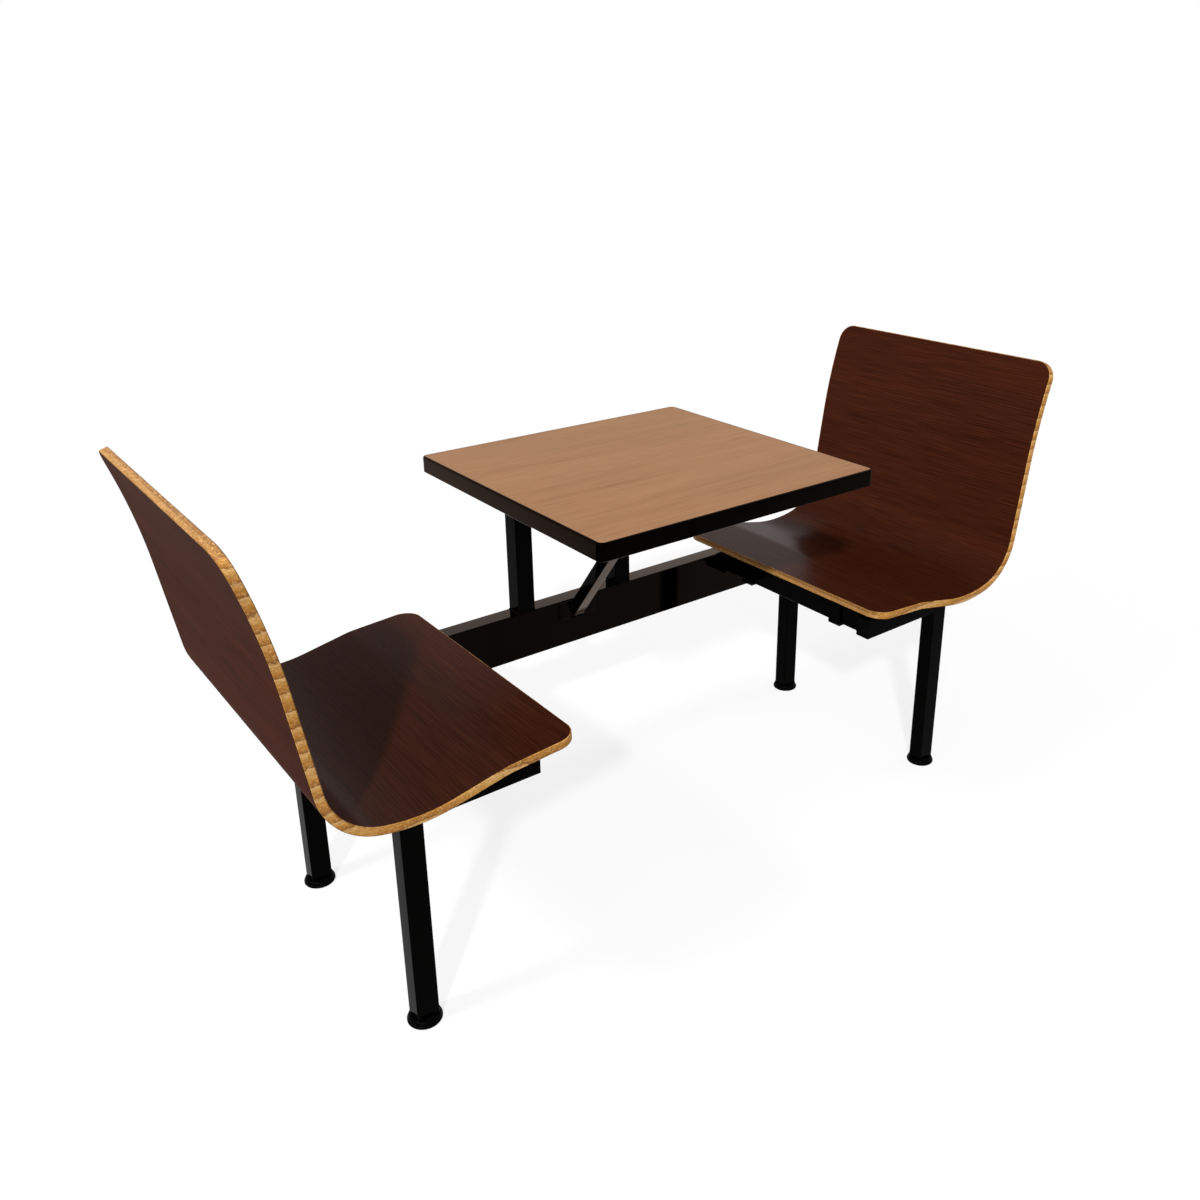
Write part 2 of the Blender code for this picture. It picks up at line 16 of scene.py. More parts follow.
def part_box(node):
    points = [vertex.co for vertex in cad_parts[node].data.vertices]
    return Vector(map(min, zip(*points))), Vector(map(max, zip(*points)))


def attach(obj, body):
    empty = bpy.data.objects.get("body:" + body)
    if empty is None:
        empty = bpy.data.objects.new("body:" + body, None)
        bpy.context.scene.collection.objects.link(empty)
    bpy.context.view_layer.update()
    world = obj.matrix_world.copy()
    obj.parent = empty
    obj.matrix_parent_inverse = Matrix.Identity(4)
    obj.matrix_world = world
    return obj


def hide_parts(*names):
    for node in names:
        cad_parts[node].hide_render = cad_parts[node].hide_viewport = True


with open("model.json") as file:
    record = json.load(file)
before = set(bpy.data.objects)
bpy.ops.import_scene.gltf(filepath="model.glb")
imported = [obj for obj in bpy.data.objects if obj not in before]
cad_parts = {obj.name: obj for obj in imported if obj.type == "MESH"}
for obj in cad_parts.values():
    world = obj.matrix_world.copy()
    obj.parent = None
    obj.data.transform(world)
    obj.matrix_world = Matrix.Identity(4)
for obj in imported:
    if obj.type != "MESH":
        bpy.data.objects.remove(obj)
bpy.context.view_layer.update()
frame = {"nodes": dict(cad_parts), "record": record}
nodes = frame["nodes"]
scene = bpy.context.scene
scene.view_settings.view_transform = "Standard"

# %% [markdown]
# ## The camera
# The straight edges of the table, seats and beam fix where the photograph was taken from. The camera could
# be moved by eye until the picture fits, but solving it from those edges also gives the lens. The
# photograph was cropped off its centre, so the lens axis isn't in the middle, and a small shift puts it
# back.

# %% Camera at the photograph's view
PHOTO_SIDE = 1200
FOCAL_PIXELS = 1103.9
LENS_AXIS_X = 660.0
LENS_AXIS_Y = 522.2
SENSOR = 36.0
CAMERA_PLACE = (-1.1695, -1.5384, 1.3596)
CAMERA_DOWN = 0.3545
CAMERA_TURN = 0.6657

lens = bpy.data.cameras.new("photo_view")
lens.sensor_width = SENSOR
lens.lens = SENSOR * FOCAL_PIXELS / PHOTO_SIDE
lens.shift_x = 0.5 - LENS_AXIS_X / PHOTO_SIDE
lens.shift_y = LENS_AXIS_Y / PHOTO_SIDE - 0.5
camera = bpy.data.objects.new("photo_view", lens)
camera.location = CAMERA_PLACE
camera.rotation_euler = (math.pi / 2 - CAMERA_DOWN, 0.0, -CAMERA_TURN)
scene.collection.objects.link(camera)
scene.camera = camera
print("lens:", round(lens.lens, 2), "mm")

# %% [markdown]
# ## Nodes as formulas
# Materials and shapes below are node trees. Wiring them by hand in code gets long, so one small class wraps
# an output socket and turns Python's operators into Math nodes, and one method makes every other kind of
# node.


# %% Wires and trees
def math_node(operation, swapped=False):
    """A method for wires that adds one Math node."""
    def method(wire, *others):
        values = (*others, wire) if swapped else (wire, *others)
        return wire.tree.node("ShaderNodeMath", {"operation": operation}, dict(enumerate(values)))

    return method


class Wire:
    """An output socket that can stand in a formula. Each operator adds a Math node to its tree."""

    def __init__(self, tree, socket):
        self.tree = tree
        self.socket = socket

    def pick(self, name):
        """Another output of the same node."""
        return Wire(self.tree, self.socket.node.outputs[name])

    __add__ = math_node("ADD")
    __radd__ = math_node("ADD", swapped=True)
    __sub__ = math_node("SUBTRACT")
    __rsub__ = math_node("SUBTRACT", swapped=True)
    __mul__ = math_node("MULTIPLY")
    __rmul__ = math_node("MULTIPLY", swapped=True)
    __truediv__ = math_node("DIVIDE")
    __abs__ = math_node("ABSOLUTE")
    least = math_node("MINIMUM")
    most = math_node("MAXIMUM")
    root = math_node("SQRT")
    cosine = math_node("COSINE")
    sine = math_node("SINE")
    fraction = math_node("FRACT")

    def between(self, low, high):
        """0 below low, 1 above high and a smooth step between them."""
        sockets = {"Value": self, "From Min": low, "From Max": high}
        return self.tree.node("ShaderNodeMapRange", {"interpolation_type": "SMOOTHSTEP"}, sockets)


class Tree:
    """A node tree, and the one way to add nodes to it."""

    def __init__(self, node_tree):
        self.nodes = node_tree.nodes
        self.links = node_tree.links

    def node(self, kind, settings=None, sockets=None, out=0):
        made = self.nodes.new(kind)
        for name, value in (settings or {}).items():
            if name == "stops":
                self.set_stops(made.color_ramp, value)
            else:
                setattr(made, name, value)
        for key, value in (sockets or {}).items():
            if isinstance(value, Wire):
                self.links.new(value.socket, made.inputs[key])
            else:
                made.inputs[key].default_value = value
        return Wire(self, made.outputs[out]) if len(made.outputs) else None

    @staticmethod
    def set_stops(ramp, stops):
        while len(ramp.elements) < len(stops):
            ramp.elements.new(1.0)
        for element, (position, colour) in zip(ramp.elements, stops):
            element.position = position
            element.color = (*colour, 1.0)

    def mix(self, factor, first, second):
        """Blend of two colours, which are sockets 6 and 7 of a Mix node, with output 2 as the result."""
        colours = [c if isinstance(c, Wire) else (*c, 1.0) for c in (first, second)]
        sockets = {0: factor, 6: colours[0], 7: colours[1]}
        return self.node("ShaderNodeMix", {"data_type": "RGBA"}, sockets, out=2)

    def stretch(self, vector, factors):
        return self.node("ShaderNodeVectorMath", {"operation": "MULTIPLY"}, {0: vector, 1: factors})

    def noise(self, vector, factors, detail=2.0, roughness=0.5):
        """Noise with its own count of grains to the metre along each of the three directions."""
        place = self.stretch(vector, factors)
        sockets = {"Vector": place, "Scale": 1.0, "Detail": detail, "Roughness": roughness}
        return self.node("ShaderNodeTexNoise", {}, sockets)


def new_material(name):
    material = bpy.data.materials.new(name)
    material.use_nodes = True
    material.node_tree.nodes.clear()
    return material, Tree(material.node_tree)


def close_material(tree, sockets, bump=None, strength=0.1, distance=0.0005):
    """Principled shader and output, with an optional bump height."""
    sockets = dict(sockets)
    if bump is not None:
        height = {"Height": bump, "Strength": strength, "Distance": distance}
        sockets["Normal"] = tree.node("ShaderNodeBump", {}, height)
    shader = tree.node("ShaderNodeBsdfPrincipled", {}, sockets)
    tree.node("ShaderNodeOutputMaterial", {}, {"Surface": shader})


print("node tools ready")

# %% [markdown]
# ## Studio
# The photograph has a plain white ground. A real studio would use a white sweep and a lot of light, but
# that would wash out the booth. Here the world is white only to the camera and in reflections, and the
# booth itself is lit by a far lamp from the front left, a panel on either side and a soft sky. The floor is
# a thin veil over that white: the little light that it sends back is enough to show a soft shadow, and a
# foot that is screwed out below it stays in sight.

# %% Floor and sky
FLOOR_SIDE = 60.0
FLOOR_DROP = 0.0005
FLOOR_GREY = 0.20
SHADOW_NEAR = 1.6
SHADOW_FAR = 3.4
SKY = 0.40
SKY_LEAN = (-0.5, -0.4)


def seen_rays(tree):
    """1 for rays that show the background itself: from the camera, in reflections and through glass."""
    path = tree.node("ShaderNodeLightPath")
    return path.pick("Is Camera Ray").most(path.pick("Is Glossy Ray")).most(path.pick("Is Transmission Ray"))


world = bpy.data.worlds.new("studio_sky")
world.use_nodes = True
world.node_tree.nodes.clear()
sky = Tree(world.node_tree)
way = sky.node("ShaderNodeSeparateXYZ", {}, {0: sky.node("ShaderNodeTexCoord", out="Generated")})
dim = SKY * (1.0 + SKY_LEAN[0] * way.pick("X") + SKY_LEAN[1] * way.pick("Y"))
level = dim + (1.0 - dim) * seen_rays(sky)
background = sky.node("ShaderNodeBackground", {}, {"Color": (1.0, 1.0, 1.0, 1.0), "Strength": level})
sky.node("ShaderNodeOutputWorld", {}, {"Surface": background})
scene.world = world

floor_paint, tree = new_material("white_floor")
place = tree.node("ShaderNodeTexCoord", out="Object")
away = tree.node("ShaderNodeVectorMath", {"operation": "LENGTH"}, {0: place}, out="Value")
seen = seen_rays(tree)
lit = tree.node("ShaderNodeBsdfDiffuse", {}, {"Color": (FLOOR_GREY, FLOOR_GREY, FLOOR_GREY, 1.0)})
thin = tree.node("ShaderNodeBsdfTransparent", {}, {"Color": seen * (1.0 - FLOOR_GREY)})
clear = tree.node("ShaderNodeBsdfTransparent", {}, {"Color": seen})
near = tree.node("ShaderNodeAddShader", {}, {0: lit, 1: thin})
shown = tree.node("ShaderNodeMixShader", {}, {0: away.between(SHADOW_NEAR, SHADOW_FAR), 1: near, 2: clear})
tree.node("ShaderNodeOutputMaterial", {}, {"Surface": shown})

floor_mesh = bpy.data.meshes.new("floor")
half = FLOOR_SIDE / 2
corners = [(-half, -half), (half, -half), (half, half), (-half, half)]
floor_mesh.from_pydata([(x, y, -FLOOR_DROP) for x, y in corners], [], [(0, 1, 2, 3)])
floor_mesh.materials.append(floor_paint)
floor = bpy.data.objects.new("floor", floor_mesh)
scene.collection.objects.link(floor)
print("floor side:", FLOOR_SIDE, "m, sky level:", SKY)

# %% [markdown]
# The edge of the shadow that the left back casts on its seat fixes the lamp's direction. A spot lamp would
# do, but a sun keeps shadows parallel at any distance. The panels are soft disks that fill the shaded
# sides, as a photographer's reflectors do.

# %% Lamp and panels
KEY_DIRECTION = Vector((-0.577, -0.599, 0.556))
KEY_LEVEL = 0.76
KEY_SPREAD = math.radians(3.0)
LIGHT_DISTANCE = 4.5
PANELS = (
    ("left_panel", Vector((-0.77, 0.05, 0.64)), 0.46, 0.7),
    ("right_panel", Vector((0.62, -0.15, 0.77)), 0.18, 2.4),
)
LIGHT_TARGET = Vector((0.0, 0.0, 0.5))


def add_light(data, direction):
    lamp = bpy.data.objects.new(data.name, data)
    lamp.location = LIGHT_TARGET + direction.normalized() * LIGHT_DISTANCE
    lamp.rotation_euler = direction.to_track_quat("Z", "Y").to_euler()
    scene.collection.objects.link(lamp)
    print(data.name, "energy", round(data.energy, 2))


# A white card at the booth that faces a light shows the light's level.
key = bpy.data.lights.new("key_lamp", "SUN")
key.energy = KEY_LEVEL * math.pi
key.angle = KEY_SPREAD
add_light(key, KEY_DIRECTION)
for name, direction, level, width in PANELS:
    panel = bpy.data.lights.new(name, "AREA")
    panel.shape = "DISK"
    panel.size = width
    panel.energy = level * (math.pi * LIGHT_DISTANCE) ** 2
    add_light(panel, direction)

# %% [markdown]
# ## Finishes of the seats
# Each seat is a sheet of plywood with a dark wood-grain laminate pressed on both faces, bent as one. Its
# bare edge is golden. On the two long sides the growth rings lie level: they cross the upright back and run
# along the seat, each pale at first and ending in a dark line. At the front and top the cut goes with the
# grain, and long fibres follow the edge, browner towards the sitter. The top edge gets a darker brown, which
# is painted shade. The laminate is sanded flush with the ply, so its own thin rim takes the same colour. The
# side of the sheet is read from where each point lay while it was flat.

# %% Golden plywood edge
SEAT_WIDTH = 0.580
SEAT_CORNER = 0.036
CORE_THICKNESS = 0.0118
TURN_OF_CORNER = SEAT_CORNER * (1.0 - math.sqrt(0.5))
TURN_BLEND = 0.002
RING_PITCH = 0.0235
RING_UNEVEN = 1.3
RING_SWAY = 0.40
RING_COLOURS = [
    (0.00, (0.520, 0.260, 0.080)),
    (0.05, (0.730, 0.430, 0.165)),
    (0.26, (0.650, 0.338, 0.092)),
    (0.55, (0.550, 0.247, 0.046)),
    (0.84, (0.440, 0.185, 0.034)),
    (0.96, (0.265, 0.107, 0.027)),
    (1.00, (0.330, 0.143, 0.039)),
]
LATE_LINES = 4.0
LATE_SHARE = 0.35
LATE_BROWN = (0.225, 0.095, 0.026)
THREAD_SHARE = 0.40
THREAD_BROWN = (0.255, 0.106, 0.027)


def growth_rings(tree, place):
    """Level rings of the long sides, with late lines towards each ring's end and fine threads all over."""
    height = tree.node("ShaderNodeSeparateXYZ", {}, {0: place}).pick("Z")
    uneven = tree.noise(place, (2.0, 2.0, 26.0), 1.0)
    sway = tree.noise(place, (55.0, 8.0, 30.0), 3.0, 0.6)
    falling = uneven * RING_UNEVEN + sway * RING_SWAY - height / RING_PITCH
    ring = falling.fraction()
    rings = tree.node("ShaderNodeValToRGB", {"stops": RING_COLOURS}, {"Fac": ring})
    late = (falling * LATE_LINES).fraction().between(0.62, 0.95) * ring.between(0.30, 0.95)
    lined = tree.mix(late * LATE_SHARE, rings, LATE_BROWN)
    threads = tree.noise(place, (45.0, 45.0, 460.0), 4.0, 0.65)
    return tree.mix((1.0 - threads.between(0.36, 0.54)) * THREAD_SHARE, lined, THREAD_BROWN)


SITTER_FIBRES = ((0.210, 0.082, 0.019), (0.440, 0.198, 0.053))
OUTER_FIBRES = ((0.440, 0.188, 0.040), (0.660, 0.342, 0.106))
# Painted shade on the top edge: where along the run it begins, how strong it is, and its brown.
TOP_SHADE_RUN = (0.70, 0.80)
TOP_SHADE_SHARE = 0.45
TOP_SHADE_BROWN = (0.200, 0.105, 0.042)
PALE_SHARE = 0.60
PALE_MOTTLE = (0.850, 0.550, 0.240)
DARK_SHARE = 0.55
DARK_MOTTLE = (0.260, 0.108, 0.024)


def golden_edge(tree):
    """Colour of the sanded edge, with painted shade on its top, and the fibres that give it its tooth."""
    place = tree.node("ShaderNodeTexCoord", out="Object")
    flat = tree.node("ShaderNodeAttribute", {"attribute_name": "sheet"}, out="Vector")
    axes = tree.node("ShaderNodeSeparateXYZ", {}, {0: flat})
    turn = SEAT_WIDTH / 2 - TURN_OF_CORNER
    side = abs(axes.pick("Y")).between(turn - TURN_BLEND, turn + TURN_BLEND)

    fibres = tree.noise(flat, (420.0, 12.0, 620.0), 4.0, 0.6)
    lightness = fibres.between(0.36, 0.64)
    brown = tree.mix(lightness, *SITTER_FIBRES)
    pale = tree.mix(lightness, *OUTER_FIBRES)
    lower = (axes.pick("Z") / CORE_THICKNESS + fibres * 0.3).between(0.55, 0.80)
    # Painted shade: past the back's bend the ends blend towards a darker brown, so the top edge is darker.
    top_shade = axes.pick("X").between(*TOP_SHADE_RUN) * TOP_SHADE_SHARE
    ends = tree.mix(top_shade, tree.mix(lower, brown, pale), TOP_SHADE_BROWN)
    wood = tree.mix(side, ends, growth_rings(tree, place))

    mottle = tree.noise(place, (260.0, 260.0, 420.0), 4.0, 0.75)
    paler = tree.mix(mottle.between(0.52, 0.64) * PALE_SHARE, wood, PALE_MOTTLE)
    colour = tree.mix((1.0 - mottle.between(0.36, 0.48)) * DARK_SHARE, paler, DARK_MOTTLE)
    return colour, fibres


golden_ply, tree = new_material("golden_ply")
colour, fibres = golden_edge(tree)
finish = {"Base Color": colour, "Roughness": 0.50 + 0.16 * fibres, "Specular IOR Level": 0.12}
close_material(tree, finish, bump=fibres, strength=0.12, distance=0.0003)
print("made", golden_ply.name)

# %% [markdown]
# The dark laminate's grain runs across the seat, from side to side, and goes round the bends with the
# sheet. Fine lines, longer streaks and soft bands are noise that is drawn out along the grain, and faint
# ribs are a wave across it. A slow drift bends them all a little, as in a real veneer. A photograph of a
# veneer would do too, but it repeats, and noise goes on over both seats. The sitter's side is satin, and
# the outer side is the duller sheet that makers put where nobody sits.

# %% Dark laminate
GRAIN_DRIFT = 0.010
LAYER_SHIFT = 40.0
RIBS = 58.0
RIB_BEND = 5.0
DARK_GRAIN = [
    (0.36, (0.0230, 0.0055, 0.0026)),
    (0.45, (0.0350, 0.0082, 0.0036)),
    (0.54, (0.0445, 0.0104, 0.0045)),
    (0.64, (0.0600, 0.0143, 0.0060)),
]
RED_SHARE = 0.25
RED_BROWN = (0.047, 0.0096, 0.0038)
STREAK_SHARE = 0.10
STREAK_BROWN = (0.0130, 0.0034, 0.0018)
WARM_SHINE = (1.0, 0.82, 0.66, 1.0)


def dark_laminate(name, shine, dullness):
    """Dark wood-grain sheet with a golden rim. Sheets at unlike depths get unlike grain."""
    material, tree = new_material(name)
    flat = tree.node("ShaderNodeAttribute", {"attribute_name": "sheet"}, out="Vector")
    drift = tree.noise(flat, (7.0, 2.6, 1.0), 2.0)
    axes = tree.node("ShaderNodeSeparateXYZ", {}, {0: flat})
    bent_rows = {
        "X": axes.pick("X") + GRAIN_DRIFT * drift,
        "Y": axes.pick("Y"),
        "Z": axes.pick("Z") * LAYER_SHIFT,
    }
    rows = tree.node("ShaderNodeCombineXYZ", {}, bent_rows)
    bands = tree.noise(rows, (26.0, 1.3, 1.0), 2.0, 0.6)
    streaks = tree.noise(rows, (130.0, 4.0, 1.0), 2.0, 0.5)
    lines = tree.noise(rows, (380.0, 9.0, 1.0), 2.0, 0.60)
    rib_place = tree.stretch(rows, (RIBS, 5.0, 1.0))
    wander = {"Vector": rib_place, "Distortion": RIB_BEND, "Detail": 2.0, "Scale": 1.0}
    ribs = tree.node("ShaderNodeTexWave", {"bands_direction": "X"}, wander, out="Fac")
    tone = bands * 0.22 + streaks * 0.06 + lines * 0.62 + ribs * 0.10
    grain = tree.node("ShaderNodeValToRGB", {"stops": DARK_GRAIN}, {"Fac": tone})
    redder = tree.mix(drift.between(0.35, 0.65) * RED_SHARE, grain, RED_BROWN)
    dark_lines = 1.0 - streaks.between(0.31, 0.42)
    face = tree.mix(dark_lines * STREAK_SHARE, redder, STREAK_BROWN)
    rim = tree.node("ShaderNodeAttribute", {"attribute_name": "rim"}, out="Fac")
    edge, _ = golden_edge(tree)
    finish = {
        "Base Color": tree.mix(rim, face, edge),
        "Roughness": dullness + 0.06 * lines,
        "Specular IOR Level": shine,
        "Specular Tint": WARM_SHINE,
    }
    close_material(tree, finish, bump=lines * 0.6 + streaks * 0.4, strength=0.06, distance=0.0002)
    print("made", name)
    return material


satin_laminate = dark_laminate("satin_laminate", 0.022, 0.25)
dull_laminate = dark_laminate("dull_laminate", 0.003, 0.48)

# %% [markdown]
# ## Finishes of the table
# The table top is a paler wood-grain laminate whose grain runs along the table. It lies flat, so the place
# of each point in the booth is enough to draw on, and no map has to be laid out.

# %% Table laminate
TABLE_GRAIN = [
    (0.34, (0.231, 0.109, 0.048)),
    (0.46, (0.285, 0.143, 0.067)),
    (0.55, (0.314, 0.161, 0.078)),
    (0.68, (0.360, 0.193, 0.096)),
]
CLOUD_SHARE = 0.25
CLOUD_BROWN = (0.254, 0.136, 0.071)
TABLE_LINE_SHARE = 0.20
TABLE_LINE_BROWN = (0.180, 0.085, 0.040)

table_laminate, tree = new_material("table_laminate")
place = tree.node("ShaderNodeTexCoord", out="Object")
bands = tree.noise(place, (1.6, 26.0, 1.0), 3.0, 0.55)
streaks = tree.noise(place, (6.5, 150.0, 1.0), 4.0, 0.6)
lines = tree.noise(place, (20.0, 620.0, 1.0), 3.0, 0.6)
cloud = tree.noise(place, (2.4, 7.0, 1.0), 2.0)
tone = bands * 0.26 + streaks * 0.34 + lines * 0.40
grain = tree.node("ShaderNodeValToRGB", {"stops": TABLE_GRAIN}, {"Fac": tone})
greyer = tree.mix(cloud.between(0.45, 0.70) * CLOUD_SHARE, grain, CLOUD_BROWN)
dark_lines = 1.0 - streaks.between(0.30, 0.42)
colour = tree.mix(dark_lines * TABLE_LINE_SHARE, greyer, TABLE_LINE_BROWN)
finish = {"Base Color": colour, "Roughness": 0.48 + 0.08 * streaks, "Specular IOR Level": 0.06}
close_material(tree, finish, bump=lines, strength=0.05, distance=0.0002)
print("made", table_laminate.name)

# %% [markdown]
# A black vinyl band goes round the edge of the particle board, and the underside has a plain backing sheet,
# which keeps the board from warping. The band is nearly black straight on and brighter at a glance, a curve
# that a metal's shader has when its colour is dark, so that shader stands in for polished vinyl.

# %% Vinyl band, board and backing
DULL_GLANCE = (0.75, 0.68, 0.64, 1.0)

black_vinyl, tree = new_material("black_vinyl")
place = tree.node("ShaderNodeTexCoord", out="Object")
rub = tree.noise(place, (30.0, 30.0, 90.0), 3.0)
leather = tree.noise(place, (1500.0, 1500.0, 1500.0), 2.0)
colour = tree.mix(rub, (0.0006, 0.0004, 0.0003), (0.0014, 0.0010, 0.0008))
finish = {"Base Color": colour, "Roughness": 0.14 + 0.08 * rub, "Metallic": 1.0, "Specular Tint": DULL_GLANCE}
close_material(tree, finish, bump=leather, strength=0.03, distance=0.0002)

particle_board, tree = new_material("particle_board")
place = tree.node("ShaderNodeTexCoord", out="Object")
chip_place = tree.stretch(place, (500.0, 500.0, 900.0))
chips = tree.node("ShaderNodeTexVoronoi", {}, {"Vector": chip_place, "Scale": 1.0})
colour = tree.mix(chips, (0.50, 0.36, 0.21), (0.32, 0.21, 0.11))
close_material(tree, {"Base Color": colour, "Roughness": 0.85}, bump=chips, strength=0.4)

backing_sheet, tree = new_material("backing_sheet")
place = tree.node("ShaderNodeTexCoord", out="Object")
paper = tree.noise(place, (900.0, 900.0, 900.0), 3.0)
blotch = tree.noise(place, (12.0, 12.0, 12.0), 2.0)
colour = tree.mix(paper * 0.5 + blotch * 0.5, (0.115, 0.085, 0.060), (0.170, 0.130, 0.095))
close_material(tree, {"Base Color": colour, "Roughness": 0.55 + 0.1 * paper}, bump=paper, strength=0.08)
print("made", black_vinyl.name, particle_board.name, backing_sheet.name)

# %% [markdown]
# ## Finishes of the frame
# The steel is coated in black powder, which sets with a faint orange-peel ripple. On the beam and the brace
# the coat is a deep gloss: almost black when seen straight on and a mirror at a glance. A metal's shader
# has just that curve when its colour is nearly black. The posts and the seat frames have a plainer coat,
# which is an ordinary shader with very little shine. The brace's two sides are painted in that coat's darker
# black, without the mirror, as painted shade.

# %% Black coats
WARM_GLANCE = (1.0, 0.90, 0.84, 1.0)
DEEP_GLOSS = {"Metallic": 1.0, "Specular Tint": WARM_GLANCE}
DEEP_DULLNESS = 0.04
DEEP_BLACKS = ((0.0046, 0.0031, 0.0026), (0.0024, 0.0017, 0.0014))
PLAIN_GLOSS = {"Specular IOR Level": 0.012}
PLAIN_DULLNESS = 0.08
PLAIN_BLACKS = ((0.0014, 0.0009, 0.0007), (0.0005, 0.0004, 0.0003))
BRACE_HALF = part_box("brace")[1].x
# Painted shade: across this span the brace's side faces turn a plain, darker black.
SHADE_SIDE_START = BRACE_HALF - 0.0008
SHADE_SIDE_END = BRACE_HALF - 0.0002


def black_coat(name, thin, thick, dullness, sockets, painted_side_shade=False):
    """Warm black powder coat, a little uneven in depth and shine. On the brace, painted shade makes its two
    sides a plain, darker black.
    """
    material, tree = new_material(name)
    place = tree.node("ShaderNodeTexCoord", out="Object")
    peel = tree.noise(place, (320.0, 320.0, 320.0), 2.0)
    haze = tree.noise(place, (14.0, 14.0, 9.0), 3.0)
    colour = tree.mix(haze, thick, thin)
    finish = {"Base Color": colour, "Roughness": dullness + 0.05 * haze, **sockets}
    if painted_side_shade:
        # Painted shade: the brace's two side faces, found by their distance from its middle, get a darker,
        # non-metallic black.
        across = tree.node("ShaderNodeSeparateXYZ", {}, {0: place}).pick("X")
        side = abs(across).between(SHADE_SIDE_START, SHADE_SIDE_END)
        finish["Base Color"] = tree.mix(side, colour, PLAIN_BLACKS[1])
        finish["Metallic"] = 1.0 - side
    close_material(tree, finish, bump=peel, strength=0.02, distance=0.0004)
    print("made", name)
    return material


BRACE_GLOSS = {**DEEP_GLOSS, **PLAIN_GLOSS}
gloss_coat = black_coat("gloss_coat", *DEEP_BLACKS, DEEP_DULLNESS, DEEP_GLOSS)
# The brace's coat carries painted shade on its two sides.
brace_coat = black_coat("brace_coat", *DEEP_BLACKS, DEEP_DULLNESS, BRACE_GLOSS, painted_side_shade=True)
black_paint = black_coat("black_paint", *PLAIN_BLACKS, PLAIN_DULLNESS, PLAIN_GLOSS)

# %% [markdown]
# Feet and plugs are black plastic with a dull, fine-grained skin. Bolts and threads are zinc plated, with a
# mottled shine. Both are small in the picture, so one or two noises each are enough. They could be painted
# by hand, but noise has no seams and needs no map.

# %% Black plastic and zinc
black_plastic, tree = new_material("black_plastic")
place = tree.node("ShaderNodeTexCoord", out="Object")
skin = tree.noise(place, (2200.0, 2200.0, 2200.0), 2.0)
scuff = tree.noise(place, (60.0, 60.0, 160.0), 4.0, 0.6)
colour = tree.mix(scuff.between(0.45, 0.75), (0.0006, 0.0006, 0.0005), (0.0024, 0.0022, 0.0020))
finish = {"Base Color": colour, "Roughness": 0.30 + 0.18 * scuff, "Specular IOR Level": 0.014}
close_material(tree, finish, bump=skin, strength=0.08, distance=0.0002)

zinc, tree = new_material("zinc")
place = tree.node("ShaderNodeTexCoord", out="Object")
spangle = tree.noise(place, (260.0, 260.0, 260.0), 3.0)
colour = tree.mix(spangle, (0.46, 0.45, 0.41), (0.70, 0.69, 0.65))
finish = {"Base Color": colour, "Roughness": 0.26 + 0.2 * spangle, "Metallic": 1.0}
close_material(tree, finish, bump=spangle, strength=0.05)
print("made", black_plastic.name, zinc.name)

# %% [markdown]
# ## From a tree to a piece
# Shapes that follow a rule are grown by Geometry Nodes. The tree is evaluated once, and the result is kept
# as a plain mesh, because the finished model can't carry live modifiers. Weighted normals then make the
# shade follow the broad faces, so that small eased edges catch light as they do on the real thing.

# %% Growing and finishing pieces
def geometry_tree(name, inputs):
    """A new Geometry Nodes group with named inputs: the group, its tree and a wire for each input."""
    group = bpy.data.node_groups.new(name, "GeometryNodeTree")
    group.interface.new_socket("Result", in_out="OUTPUT", socket_type="NodeSocketGeometry")
    for title, kind in inputs.items():
        group.interface.new_socket(title, in_out="INPUT", socket_type="NodeSocket" + kind)
    tree = Tree(group)
    entry = tree.node("NodeGroupInput")
    return group, tree, {title: entry.pick(title) for title in inputs}


def close_geometry(tree, mesh, material):
    """Every tree ends with real geometry and its finish."""
    real = tree.node("GeometryNodeRealizeInstances", {}, {"Geometry": mesh})
    finished = tree.node("GeometryNodeSetMaterial", {}, {"Geometry": real, "Material": material})
    tree.node("NodeGroupOutput", {}, {0: finished})


def add_piece(name, mesh):
    piece = bpy.data.objects.new(name, mesh)
    scene.collection.objects.link(piece)
    return piece


def settle(piece):
    """Keep what the modifiers made as the piece's own mesh, and take them off."""
    graph = bpy.context.evaluated_depsgraph_get()
    shaped = piece.evaluated_get(graph)
    made = bpy.data.meshes.new_from_object(shaped, preserve_all_data_layers=True, depsgraph=graph)
    made.name = piece.name
    piece.modifiers.clear()
    piece.data = made
    return piece


def grow(name, group, settings, start=None):
    """A piece made by a tree, from nothing or from a start mesh."""
    piece = add_piece(name, start or bpy.data.meshes.new(name))
    modifier = piece.modifiers.new(group.name, "NODES")
    modifier.node_group = group
    for item in group.interface.items_tree:
        if item.in_out == "INPUT" and item.name in settings:
            modifier[item.identifier] = settings[item.name]
    return settle(piece)


def smooth(piece):
    piece.data.shade_smooth()
    piece.modifiers.new("even_shade", "WEIGHTED_NORMAL")
    return settle(piece)


def fit(piece, body, slot, *replaced):
    """Hand a finished piece to its body and hide the CAD nodes that it stands for. The slot is not used."""
    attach(piece, body)
    if replaced:
        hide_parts(*replaced)
    return piece


print("piece tools ready")

# %% [markdown]
# ## The seats
# A bent seat is one flat sheet with round corners, pressed over a former. It could be modelled face by
# face, but a rule is shorter: a fine block is read as the flat sheet, its outline is drawn in towards the
# faces to ease the edges, and each point is then carried along the seat's profile. Three such sheets make a
# seat, the plywood and a laminate on either face.

# %% The seat's profile
SEAT_FRONT = (0.346, 0.4595)
LAMINATE = 0.0008
GLUE_GAP = 0.0003
STRAIGHT = 0.0
PROFILE_RUNS = [
    (0.118, STRAIGHT, -4.0),
    (0.160, -4.0, -11.5),
    (0.080, STRAIGHT, -11.5),
    (0.265, -11.5, 13.0),
    (0.100, 13.0, 81.0),
    (0.160, STRAIGHT, 81.0),
    (1.080, 81.0, 69.5),
]
ARC_STEP = 0.5


